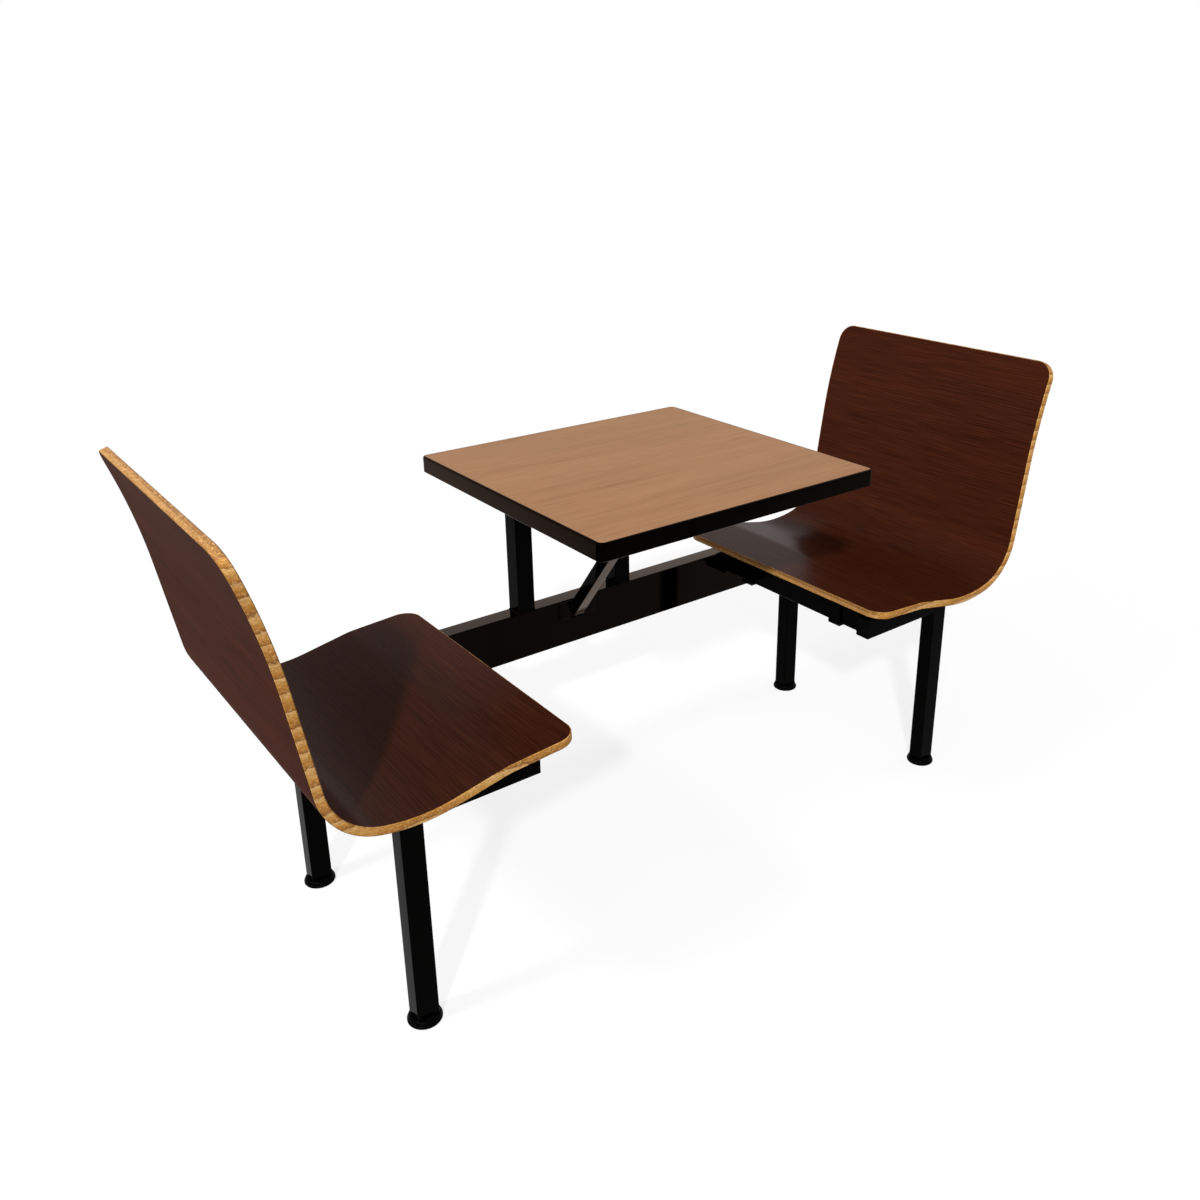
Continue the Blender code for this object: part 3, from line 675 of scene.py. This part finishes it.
def profile_points():
    """Walk the upper face from front to top. A straight run gives its length, an arc its radius."""
    x, z = SEAT_FRONT
    points = [Vector((x, 0.0, z))]
    for size, start, end in PROFILE_RUNS:
        steps = 1 if start == STRAIGHT else math.ceil(abs(end - start) / ARC_STEP)
        for i in range(steps):
            if start == STRAIGHT:
                tilt, length = math.radians(end), size
            else:
                tilt = math.radians(start + (end - start) * (i + 0.5) / steps)
                length = size * math.radians(abs(end - start)) / steps
            x += length * math.cos(tilt)
            z += length * math.sin(tilt)
            points.append(Vector((x, 0.0, z)))
    return points


profile_data = bpy.data.curves.new("seat_profile", "CURVE")
profile_data.dimensions = "3D"
spline = profile_data.splines.new("POLY")
points = profile_points()
spline.points.add(len(points) - 1)
for place, point in zip(spline.points, points):
    place.co = (*point, 1.0)
profile = add_piece("seat_profile", profile_data)
print("profile ends at", [round(v, 4) for v in points[-1]])

# %% [markdown]
# In the flat, a point of the sheet has a run from front to top, a reach to either side and a depth below
# the upper face. The tree works these out for every point of the block, notes them for the grain of the
# finishes, and only then bends the sheet along the profile. Bending first would leave nothing straight to
# measure from.

# %% The bent sheet as a tree
STATIONS = 361
COLUMNS = 9
LAYERS = 13
END_CROWDING = 0.88

inputs = {
    "Profile": "Object", "Width": "Float", "Corner": "Float", "Depth": "Float", "Thickness": "Float",
    "Total": "Float", "Edge": "Float", "Side": "Float", "Finish": "Material",
}
bent_sheet, tree, size = geometry_tree("bent_sheet", inputs)
counts = {"Size": (1.0, 1.0, 1.0), "Vertices X": STATIONS, "Vertices Y": COLUMNS, "Vertices Z": LAYERS}
block = tree.node("GeometryNodeMeshCube", {}, counts, out="Mesh")
share = tree.node("ShaderNodeSeparateXYZ", {}, {0: tree.node("GeometryNodeInputPosition")})
run = share.pick("X") + 0.5
reach = share.pick("Y") * 2.0
rise = share.pick("Z") + 0.5

deep = size["Depth"] + size["Thickness"] * (1.0 + (rise * math.pi).cosine()) * 0.5
from_face = deep.least(size["Total"] - deep)
short = (size["Edge"] - from_face).most(0.0)
inset = size["Edge"] - (size["Edge"] * size["Edge"] - short * short).most(0.0).root()

path = tree.node("GeometryNodeObjectInfo", {}, {"Object": size["Profile"]}, out="Geometry")
length = tree.node("GeometryNodeCurveLength", {}, {0: path})
crowded = run - (run * (2.0 * math.pi)).sine() * (END_CROWDING / (2.0 * math.pi))
distance = inset + (length - 2.0 * inset) * crowded
from_end = (distance - inset).least(length - inset - distance)
corner = size["Corner"] - inset
cut = (corner - from_end).most(0.0)
half_width = size["Width"] * 0.5 - inset - corner + (corner * corner - cut * cut).most(0.0).root()
sideways = reach * half_width

sample = {"Curves": path, "Length": distance}
spot = tree.node("GeometryNodeSampleCurve", {"mode": "LENGTH"}, sample, out="Position")
point = tree.node("ShaderNodeSeparateXYZ", {}, {0: spot})
heading = tree.node("ShaderNodeSeparateXYZ", {}, {0: spot.pick("Tangent")})
bent = {
    "X": (point.pick("X") + deep * heading.pick("Z")) * size["Side"],
    "Y": sideways * size["Side"],
    "Z": point.pick("Z") - deep * heading.pick("X"),
}
upright = tree.node("ShaderNodeSeparateXYZ", {}, {0: tree.node("GeometryNodeInputNormal")}).pick("Z")
note = {"data_type": "FLOAT", "domain": "FACE"}
sockets = {"Geometry": block, "Name": "rim", "Value": 1.0 - abs(upright)}
rimmed = tree.node("GeometryNodeStoreNamedAttribute", note, sockets)
sheet_place = tree.node("ShaderNodeCombineXYZ", {}, {"X": distance, "Y": sideways, "Z": deep})
note = {"data_type": "FLOAT_VECTOR", "domain": "POINT"}
sockets = {"Geometry": rimmed, "Name": "sheet", "Value": sheet_place}
noted = tree.node("GeometryNodeStoreNamedAttribute", note, sockets)
target = tree.node("ShaderNodeCombineXYZ", {}, bent)
moved = tree.node("GeometryNodeSetPosition", {}, {"Geometry": noted, "Position": target})
close_geometry(tree, moved, size["Finish"])
print("bent_sheet tree:", len(bent_sheet.nodes), "nodes")

# %% [markdown]
# A press bonds all layers at once, so every layer is cut to one outline and they share one round edge. The
# same tree makes all six sheets. The left seat is the right one turned half way round, which keeps the
# faces outwards: a mirror image would turn them in.

# %% Press both seats
EDGE_ROUND = 0.0016
core_depth = LAMINATE + GLUE_GAP
back_depth = core_depth + CORE_THICKNESS + GLUE_GAP
SHEETS = (
    ("seat_face_laminate", 0.0, LAMINATE, satin_laminate, "dark_laminate"),
    ("seat_core", core_depth, CORE_THICKNESS, golden_ply, "oak_ply"),
    ("seat_back_laminate", back_depth, LAMINATE, dull_laminate, "dark_laminate"),
)
for side, sign in (("left", -1.0), ("right", 1.0)):
    for node, depth, thickness, finish, slot in SHEETS:
        settings = {
            "Profile": profile, "Width": SEAT_WIDTH, "Corner": SEAT_CORNER, "Depth": depth,
            "Thickness": thickness, "Total": back_depth + LAMINATE, "Edge": EDGE_ROUND, "Side": sign,
            "Finish": finish,
        }
        piece = smooth(grow(f"pressed_{node}_{side}", bent_sheet, settings))
        fit(piece, "frame", slot, f"{node}_{side}")
        low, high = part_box(f"{node}_{side}")
        print(piece.name, len(piece.data.polygons), "faces, CAD", [round(v, 4) for v in high - low],
              "shown", [round(v, 4) for v in piece.dimensions])
bpy.data.objects.remove(profile)

# %% [markdown]
# ## Steel, band and plugs
# The tubes, plates, straps and caps of the CAD frame already have the right shape, but their edges are
# razor sharp and their faces are loose triangles. A copy of each is joined up, its edges are eased a
# little, and its shade is evened, so that it takes highlights as coated steel does.

# %% Ease the frame's edges
MERGE = 0.00001
FLAT_ANGLE = math.radians(1.0)
SHARP_ANGLE = math.radians(50.0)
EASE_SEGMENTS = 2


def eased(node, edge):
    """A smooth copy of a CAD node with its sharp edges rounded over."""
    bm = bmesh.new()
    bm.from_mesh(nodes[node].data)
    bmesh.ops.remove_doubles(bm, verts=bm.verts[:], dist=MERGE)
    bmesh.ops.dissolve_limit(bm, angle_limit=FLAT_ANGLE, verts=bm.verts[:], edges=bm.edges[:])
    mesh = bpy.data.meshes.new(f"eased_{node}")
    bm.to_mesh(mesh)
    bm.free()
    piece = add_piece(f"eased_{node}", mesh)
    bevel = piece.modifiers.new("eased_edge", "BEVEL")
    bevel.width = edge
    bevel.segments = EASE_SEGMENTS
    bevel.limit_method = "ANGLE"
    bevel.angle_limit = SHARP_ANGLE
    return smooth(piece)


GLOSSY = ("beam", "brace")
FINISHES = {
    "black_steel": (black_paint, 0.0006),
    "black_plastic": (black_plastic, 0.0005),
    "black_vinyl": (black_vinyl, 0.0003),
}
MADE_BELOW = ("glide", "leg_insert")
for entry in frame["record"]["subparts"]:
    node, slot = entry["node"], entry["material_slot"]
    if slot not in FINISHES or node.startswith(MADE_BELOW):
        continue
    finish, edge = FINISHES[slot]
    if finish is black_paint and node.startswith(GLOSSY):
        # The brace takes the coat with painted shade on its sides.
        finish = brace_coat if node == "brace" else gloss_coat
    piece = eased(node, edge)
    piece.data.materials.clear()
    piece.data.materials.append(finish)
    fit(piece, "frame", slot, node)

# %% [markdown]
# The flat sheets and the board of the table, and the plugs inside the legs, need no finer shape. They stay
# as the CAD frame gives them, and only get their finish.

# %% Finishes of the CAD nodes that stay
STAYING = {
    "table_top_laminate": table_laminate,
    "table_backing_sheet": backing_sheet,
    "table_core": particle_board,
}
STAYING.update({node: black_plastic for node in nodes if node.startswith("leg_insert")})
for node, finish in STAYING.items():
    nodes[node].data.materials.clear()
    nodes[node].data.materials.append(finish)
print("CAD nodes that stay:", len(STAYING))

# %% [markdown]
# ## Levelling feet
# Each foot is a moulded disc with a rolled rim and a domed top, turned on a lathe in the mould maker's
# shop, so it is turned here too: a half section spun about the leg's axis. The threaded stem shows when a
# foot is screwed out. Its thread is a ridge that follows a spiral, which Geometry Nodes draw.

# %% Turned feet
TURN_STEPS = 64
FOOT_SECTION = [
    (0.0000, 0.0000), (0.0250, 0.0000), (0.0266, 0.0003), (0.0278, 0.0009),
    (0.0284, 0.0019), (0.0284, 0.0042), (0.0280, 0.0050), (0.0273, 0.0054),
    (0.0270, 0.0058), (0.0269, 0.0064), (0.0264, 0.0086), (0.0255, 0.0104),
    (0.0241, 0.0117), (0.0222, 0.0125), (0.0200, 0.0127), (0.0000, 0.0127),
]


def turned(name, section, steps=TURN_STEPS):
    """Spin a half section, given as radius and height, into a closed solid about Z."""
    bm = bmesh.new()
    rings = []
    for radius, height in section:
        if radius == 0.0:
            rings.append([bm.verts.new((0.0, 0.0, height))])
            continue
        angles = [2.0 * math.pi * i / steps for i in range(steps)]
        rings.append([bm.verts.new((radius * math.cos(a), radius * math.sin(a), height)) for a in angles])
    for low, high in zip(rings, rings[1:]):
        for i in range(steps):
            j = (i + 1) % steps
            corners = [low[i % len(low)], low[j % len(low)], high[j % len(high)], high[i % len(high)]]
            bm.faces.new(list(dict.fromkeys(corners)))
    bmesh.ops.recalc_face_normals(bm, faces=bm.faces[:])
    mesh = bpy.data.meshes.new(name)
    bm.to_mesh(mesh)
    bm.free()
    return mesh


FEET = [node for node in nodes if node.startswith("glide")]
for node in FEET:
    low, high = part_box(node)
    mesh = turned(f"foot_{node}", FOOT_SECTION)
    mesh.transform(Matrix.Translation(((low.x + high.x) / 2, (low.y + high.y) / 2, low.z)))
    mesh.materials.append(black_plastic)
    piece = smooth(add_piece(f"foot_{node}", mesh))
    fit(piece, node.replace("glide", "foot"), "black_plastic", node)
print("feet:", len(FEET))

# %% [markdown]
# A Screw modifier could wind the thread. A tree gives its pitch and ridge names of their own, and one tree
# serves all four stems.

# %% Threaded stems
STEM_FOOT = 0.0120
THREAD_PITCH = 0.0015
THREAD_RIDGE = 0.0006
THREAD_START = 0.001
THREAD_SHORT = 0.003
RIDGE_SIDES = 4
SPIRAL_STEPS = 20
STEM_CORE = 0.0044
STEM_TOP = 0.0602
STEM_STEPS = 24
TIP_HIGH = 0.0012
TIP_WIDE = 0.001

inputs = {
    "Stem": "Geometry", "Turns": "Float", "Radius": "Float", "Height": "Float", "Ridge": "Float",
    "Place": "Vector", "Finish": "Material",
}
thread, tree, size = geometry_tree("thread", inputs)
spiral = tree.node("GeometryNodeCurveSpiral", {}, {
    "Resolution": SPIRAL_STEPS, "Rotations": size["Turns"], "Height": size["Height"],
    "Start Radius": size["Radius"], "End Radius": size["Radius"],
})
section = {"Resolution": RIDGE_SIDES, "Radius": size["Ridge"]}
ridge = tree.node("GeometryNodeCurvePrimitiveCircle", {}, section)
wound = tree.node("GeometryNodeCurveToMesh", {}, {"Curve": spiral, "Profile Curve": ridge, "Fill Caps": True})
placed = tree.node("GeometryNodeTransform", {}, {"Geometry": wound, "Translation": size["Place"]})
both = tree.node("GeometryNodeJoinGeometry")
for part in (size["Stem"], placed):
    tree.links.new(part.socket, both.socket.node.inputs[0])
close_geometry(tree, both, size["Finish"])

STEM_SECTION = [
    (0.0, STEM_FOOT), (STEM_CORE, STEM_FOOT), (STEM_CORE, STEM_TOP - TIP_HIGH),
    (STEM_CORE - TIP_WIDE, STEM_TOP), (0.0, STEM_TOP),
]
thread_height = STEM_TOP - THREAD_SHORT - STEM_FOOT
for node in FEET:
    low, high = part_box(node)
    middle = Vector(((low.x + high.x) / 2, (low.y + high.y) / 2, low.z))
    mesh = turned(f"stem_{node}", STEM_SECTION, STEM_STEPS)
    mesh.transform(Matrix.Translation(middle))
    settings = {
        "Turns": thread_height / THREAD_PITCH, "Radius": STEM_CORE, "Height": thread_height,
        "Ridge": THREAD_RIDGE, "Place": middle + Vector((0.0, 0.0, STEM_FOOT + THREAD_START)), "Finish": zinc,
    }
    piece = smooth(grow(f"stem_{node}", thread, settings, mesh))
    fit(piece, node.replace("glide", "foot"), "zinc_steel")
print("stems:", len(FEET), "turns each:", round(thread_height / THREAD_PITCH))

# %% [markdown]
# ## Screws and bolts
# Screws go up through the straps into the seats and through the plates into the table, and bolts go through
# the beam into the seat frames. Each kind is modelled once, and a tree puts a copy on every point, turned
# to the direction that is stored on that point.

# %% The fastener tree
inputs = {"Points": "Geometry", "Shape": "Object", "Finish": "Material"}
fasteners, tree, size = geometry_tree("fasteners", inputs)
shape = tree.node("GeometryNodeObjectInfo", {}, {"Object": size["Shape"]}, out="Geometry")
facing = tree.node("GeometryNodeInputNamedAttribute", {"data_type": "FLOAT_VECTOR"}, {"Name": "facing"})
turn = tree.node("FunctionNodeAlignRotationToVector", {"axis": "Z"}, {"Vector": facing})
spots = tree.node("GeometryNodeMeshToPoints", {}, {"Mesh": size["Points"]})
copies = tree.node("GeometryNodeInstanceOnPoints", {}, {"Points": spots, "Instance": shape, "Rotation": turn})
close_geometry(tree, copies, size["Finish"])


def set_fasteners(name, shape, spots, finish):
    """Copies of a shape on spots, each given as a place and a direction."""
    mesh = bpy.data.meshes.new(name)
    mesh.from_pydata([place for place, _ in spots], [], [])
    facing = mesh.attributes.new("facing", "FLOAT_VECTOR", "POINT")
    for item, (_, direction) in zip(facing.data, spots):
        item.vector = direction
    return smooth(grow(name, fasteners, {"Shape": shape, "Finish": finish}, mesh))


print("fasteners tree:", len(fasteners.nodes), "nodes")

# %% [markdown]
# The screws have low round heads with a cross, which a Boolean cuts once, before the copies are made. Their
# places are read from the boxes of the straps and plates, so they follow the frame.

# %% Pan-head screws under the straps and plates
SCREW_SECTION = [
    (0.0, -0.0002), (0.0043, -0.0002), (0.0044, 0.0004), (0.0042, 0.0011), (0.0036, 0.0018), (0.0024, 0.0023),
    (0.0, 0.0025),
]
CROSS_LONG = 0.0022
CROSS_WIDE = 0.0006
CROSS_DEEP = 0.0012
SCREW_STEPS = 20
DOWN = Vector((0.0, 0.0, -1.0))
STRAP_FLANGE = 0.011
STRAP_DROP = 0.0047
PLATE_MARGIN = 0.012
PLATE_ROW = 3.2 * PLATE_MARGIN
HEAD_MARGIN = 0.009

screw = smooth(add_piece("screw_shape", turned("screw_shape", SCREW_SECTION, SCREW_STEPS)))
for turn in (0.0, math.pi / 2):
    bm = bmesh.new()
    bmesh.ops.create_cube(bm, size=2.0)
    bm.transform(Matrix.Rotation(turn, 4, "Z") @ Matrix.Diagonal((CROSS_LONG, CROSS_WIDE, CROSS_DEEP, 1.0)))
    bm.transform(Matrix.Translation((0.0, 0.0, SCREW_SECTION[-1][1])))
    cutter_mesh = bpy.data.meshes.new("cross")
    bm.to_mesh(cutter_mesh)
    bm.free()
    cutter = add_piece("cross", cutter_mesh)
    cut = screw.modifiers.new("cross", "BOOLEAN")
    cut.object = cutter
    settle(screw)
    bpy.data.objects.remove(cutter)

spots = []
for node in nodes:
    low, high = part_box(node)
    middle = (low + high) / 2
    if node.startswith("clamp"):
        for end, inwards in ((low.x, 1.0), (high.x, -1.0)):
            top = max(v.co.z for v in nodes[node].data.vertices if abs(v.co.x - end) < MERGE)
            spots.append((Vector((end + inwards * STRAP_FLANGE, middle.y, top - STRAP_DROP)), DOWN))
    elif node.startswith("post_plate"):
        for x in (low.x + PLATE_MARGIN, high.x - PLATE_MARGIN):
            for y in (low.y + PLATE_MARGIN, low.y + PLATE_ROW):
                spots.append((Vector((x, y, low.z)), DOWN))
    elif node == "brace_head_plate":
        for x in (low.x + HEAD_MARGIN, high.x - HEAD_MARGIN):
            for y in (low.y + HEAD_MARGIN, high.y - HEAD_MARGIN):
                spots.append((Vector((x, y, low.z)), DOWN))
piece = set_fasteners("panhead_screws", screw, spots, zinc)
fit(piece, "frame", "zinc_steel")
bpy.data.objects.remove(screw)
print("screws:", len(spots))

# %% [markdown]
# Each seat frame hangs on two bolts, with their heads behind the beam and their nuts on the rail's inner
# side. A head is a washer and a chamfered hexagon, and a nut also shows the bolt's end. The plain bolts of
# the CAD frame give way to them.

# %% Hexagon bolts through the beam
HEX_CORNER = 0.0075
HEX_CHAMFER = 0.0008
WASHER_RADIUS = 0.0080
WASHER_THICK = 0.0014
BOLT_HEAD = 0.0055
BOLT_NUT = 0.0065
BOLT_TIP = 0.0060
SHANK_RADIUS = 0.0040
SHANK_CHAMFER = 0.001
WASHER_STEPS = 32
SHANK_STEPS = 20


def hex_shape(name, height, tip):
    """Washer, chamfered hexagon and, for a nut, the end of the bolt, seated on Z = 0."""
    washer = [(0.0, 0.0), (WASHER_RADIUS, 0.0), (WASHER_RADIUS, WASHER_THICK), (0.0, WASHER_THICK)]
    bm = bmesh.new()
    bm.from_mesh(turned("washer", washer, WASHER_STEPS))
    levels = (
        (HEX_CORNER, WASHER_THICK), (HEX_CORNER, height - HEX_CHAMFER), (HEX_CORNER - HEX_CHAMFER, height),
    )
    rows = []
    for radius, z in levels:
        angles = [math.pi / 3 * i for i in range(6)]
        rows.append([bm.verts.new((radius * math.cos(a), radius * math.sin(a), z)) for a in angles])
    for low, high in zip(rows, rows[1:]):
        for i in range(6):
            j = (i + 1) % 6
            bm.faces.new((low[i], low[j], high[j], high[i]))
    bm.faces.new(rows[0])
    bm.faces.new(rows[-1])
    if tip:
        end = [
            (0.0, height), (SHANK_RADIUS, height), (SHANK_RADIUS, height + tip - SHANK_CHAMFER),
            (SHANK_RADIUS - SHANK_CHAMFER, height + tip), (0.0, height + tip),
        ]
        bm.from_mesh(turned("bolt_end", end, SHANK_STEPS))
    bmesh.ops.recalc_face_normals(bm, faces=bm.faces[:])
    mesh = bpy.data.meshes.new(name)
    bm.to_mesh(mesh)
    bm.free()
    return add_piece(name, mesh)


BOLTS = [node for node in nodes if node.startswith("frame_bolt")]
head_spots, nut_spots = [], []
beam_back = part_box("beam")[1].y
rail_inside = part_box("side_rail_right_wall")[0].y
for node in BOLTS:
    low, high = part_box(node)
    middle = (low + high) / 2
    head_spots.append((Vector((middle.x, beam_back, middle.z)), Vector((0.0, 1.0, 0.0))))
    nut_spots.append((Vector((middle.x, rail_inside, middle.z)), Vector((0.0, -1.0, 0.0))))
for name, height, tip, spots, replaced in (
    ("bolt_heads", BOLT_HEAD, 0.0, head_spots, BOLTS),
    ("bolt_nuts", BOLT_NUT, BOLT_TIP, nut_spots, []),
):
    shape = hex_shape(name + "_shape", height, tip)
    piece = set_fasteners(name, shape, spots, zinc)
    fit(piece, "frame", "zinc_steel", *replaced)
    bpy.data.objects.remove(shape)
print("bolts:", len(BOLTS))

# %% [markdown]
# ## Weld beads
# The frame is welded and then coated, so beads run along its joints under the paint. A bead is a row of
# small overlapping ripples. The tree follows a path, swells and narrows a round section along it, and fills
# the ends.

# %% The bead tree
BEAD_RADIUS = 0.0022
BEAD_PITCH = 0.0024
BEAD_SWELL = 0.12
BEAD_STEP = 0.2
BEAD_SIDES = 10

inputs = {"Path": "Geometry", "Radius": "Float", "Pitch": "Float", "Swell": "Float", "Finish": "Material"}
bead, tree, size = geometry_tree("weld_bead", inputs)
line = tree.node("GeometryNodeMeshToCurve", {}, {0: size["Path"]})
steps = {"Curve": line, "Length": size["Pitch"] * BEAD_STEP}
fine = tree.node("GeometryNodeResampleCurve", {"mode": "LENGTH"}, steps)
travel = tree.node("GeometryNodeSplineParameter", out="Length")
swell = 1.0 + size["Swell"] * (travel / size["Pitch"] * (2.0 * math.pi)).sine()
section = tree.node("GeometryNodeCurvePrimitiveCircle", {}, {"Resolution": BEAD_SIDES, "Radius": 1.0})
sweep = {"Curve": fine, "Profile Curve": section, "Scale": swell * size["Radius"], "Fill Caps": True}
swept = tree.node("GeometryNodeCurveToMesh", {}, sweep)
close_geometry(tree, swept, size["Finish"])
print("bead tree:", len(bead.nodes), "nodes")

# %% [markdown]
# Beads go where a welder reaches: round the ends of the posts and the brace, and along the corners of the
# seat frames. Every path is read from the boxes of the pieces that meet there.

# %% Beads on the posts, brace and seat frames
POST_INSET = 0.002
WELD_STOP = 0.004
paths = []


def add_line(*places):
    paths.append([Vector(place) for place in places])


def add_u(x0, x1, y, top, bottom):
    """A bead down one side of a rail, along below it and up the other side."""
    add_line((x0, y, top), (x0, y, bottom), (x1, y, bottom), (x1, y, top))


for side in ("left", "right"):
    low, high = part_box(f"post_{side}")
    for x in (low.x, high.x):
        add_line((x, low.y + POST_INSET, low.z), (x, high.y - POST_INSET, low.z))
    top = high.z
    add_line((low.x, high.y, top), (low.x, low.y, top), (high.x, low.y, top), (high.x, high.y, top))
    for edge in ("aisle", "wall"):
        rail_low, rail_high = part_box(f"side_rail_{side}_{edge}")
        leg_low, leg_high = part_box(f"leg_{side}_{edge}")
        joint_x = leg_low.x if side == "right" else leg_high.x
        inner_y = rail_high.y if rail_high.y < 0 else rail_low.y
        outer_y = rail_low.y if rail_high.y < 0 else rail_high.y
        bottom, rail_stop = rail_low.z, rail_high.z - WELD_STOP
        add_line((joint_x, outer_y, bottom), (joint_x, inner_y, bottom), (joint_x, inner_y, rail_stop))
        cross_low, cross_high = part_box(f"rear_rail_{side}")
        leg_y = leg_high.y if leg_high.y < 0 else leg_low.y
        add_u(cross_low.x, cross_high.x, leg_y, cross_high.z - WELD_STOP, cross_low.z)
        cross_low, cross_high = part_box(f"front_rail_{side}")
        add_u(cross_low.x, cross_high.x, inner_y, rail_stop, cross_low.z)

tube_low, tube_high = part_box("brace")
foot_low, foot_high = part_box("brace_foot_plate")
points = [v.co for v in nodes["brace"].data.vertices]
foot_z = [p.z for p in points if abs(p.y - tube_high.y) < MERGE]
head_y = [p.y for p in points if abs(p.z - tube_high.z) < MERGE]
x0, x1 = tube_low.x, tube_high.x
add_line((x0, tube_high.y, max(foot_z)), (x0, tube_high.y, min(foot_z)), (x1, tube_high.y, min(foot_z)),
         (x1, tube_high.y, max(foot_z)), (x0, tube_high.y, max(foot_z)))
add_line((x0, min(head_y), tube_high.z), (x1, min(head_y), tube_high.z), (x1, max(head_y), tube_high.z),
         (x0, max(head_y), tube_high.z), (x0, min(head_y), tube_high.z))
for x in (foot_low.x, foot_high.x):
    add_line((x, foot_high.y, foot_low.z + WELD_STOP), (x, foot_high.y, foot_high.z - WELD_STOP))

mesh = bpy.data.meshes.new("weld_paths")
verts, edges = [], []
for path in paths:
    edges += [(len(verts) + i, len(verts) + i + 1) for i in range(len(path) - 1)]
    verts += path
mesh.from_pydata(verts, edges, [])
settings = {"Radius": BEAD_RADIUS, "Pitch": BEAD_PITCH, "Swell": BEAD_SWELL, "Finish": black_paint}
piece = smooth(grow("weld_beads", bead, settings, mesh))
fit(piece, "frame", "black_steel")
print("beads:", len(paths), "faces:", len(piece.data.polygons))
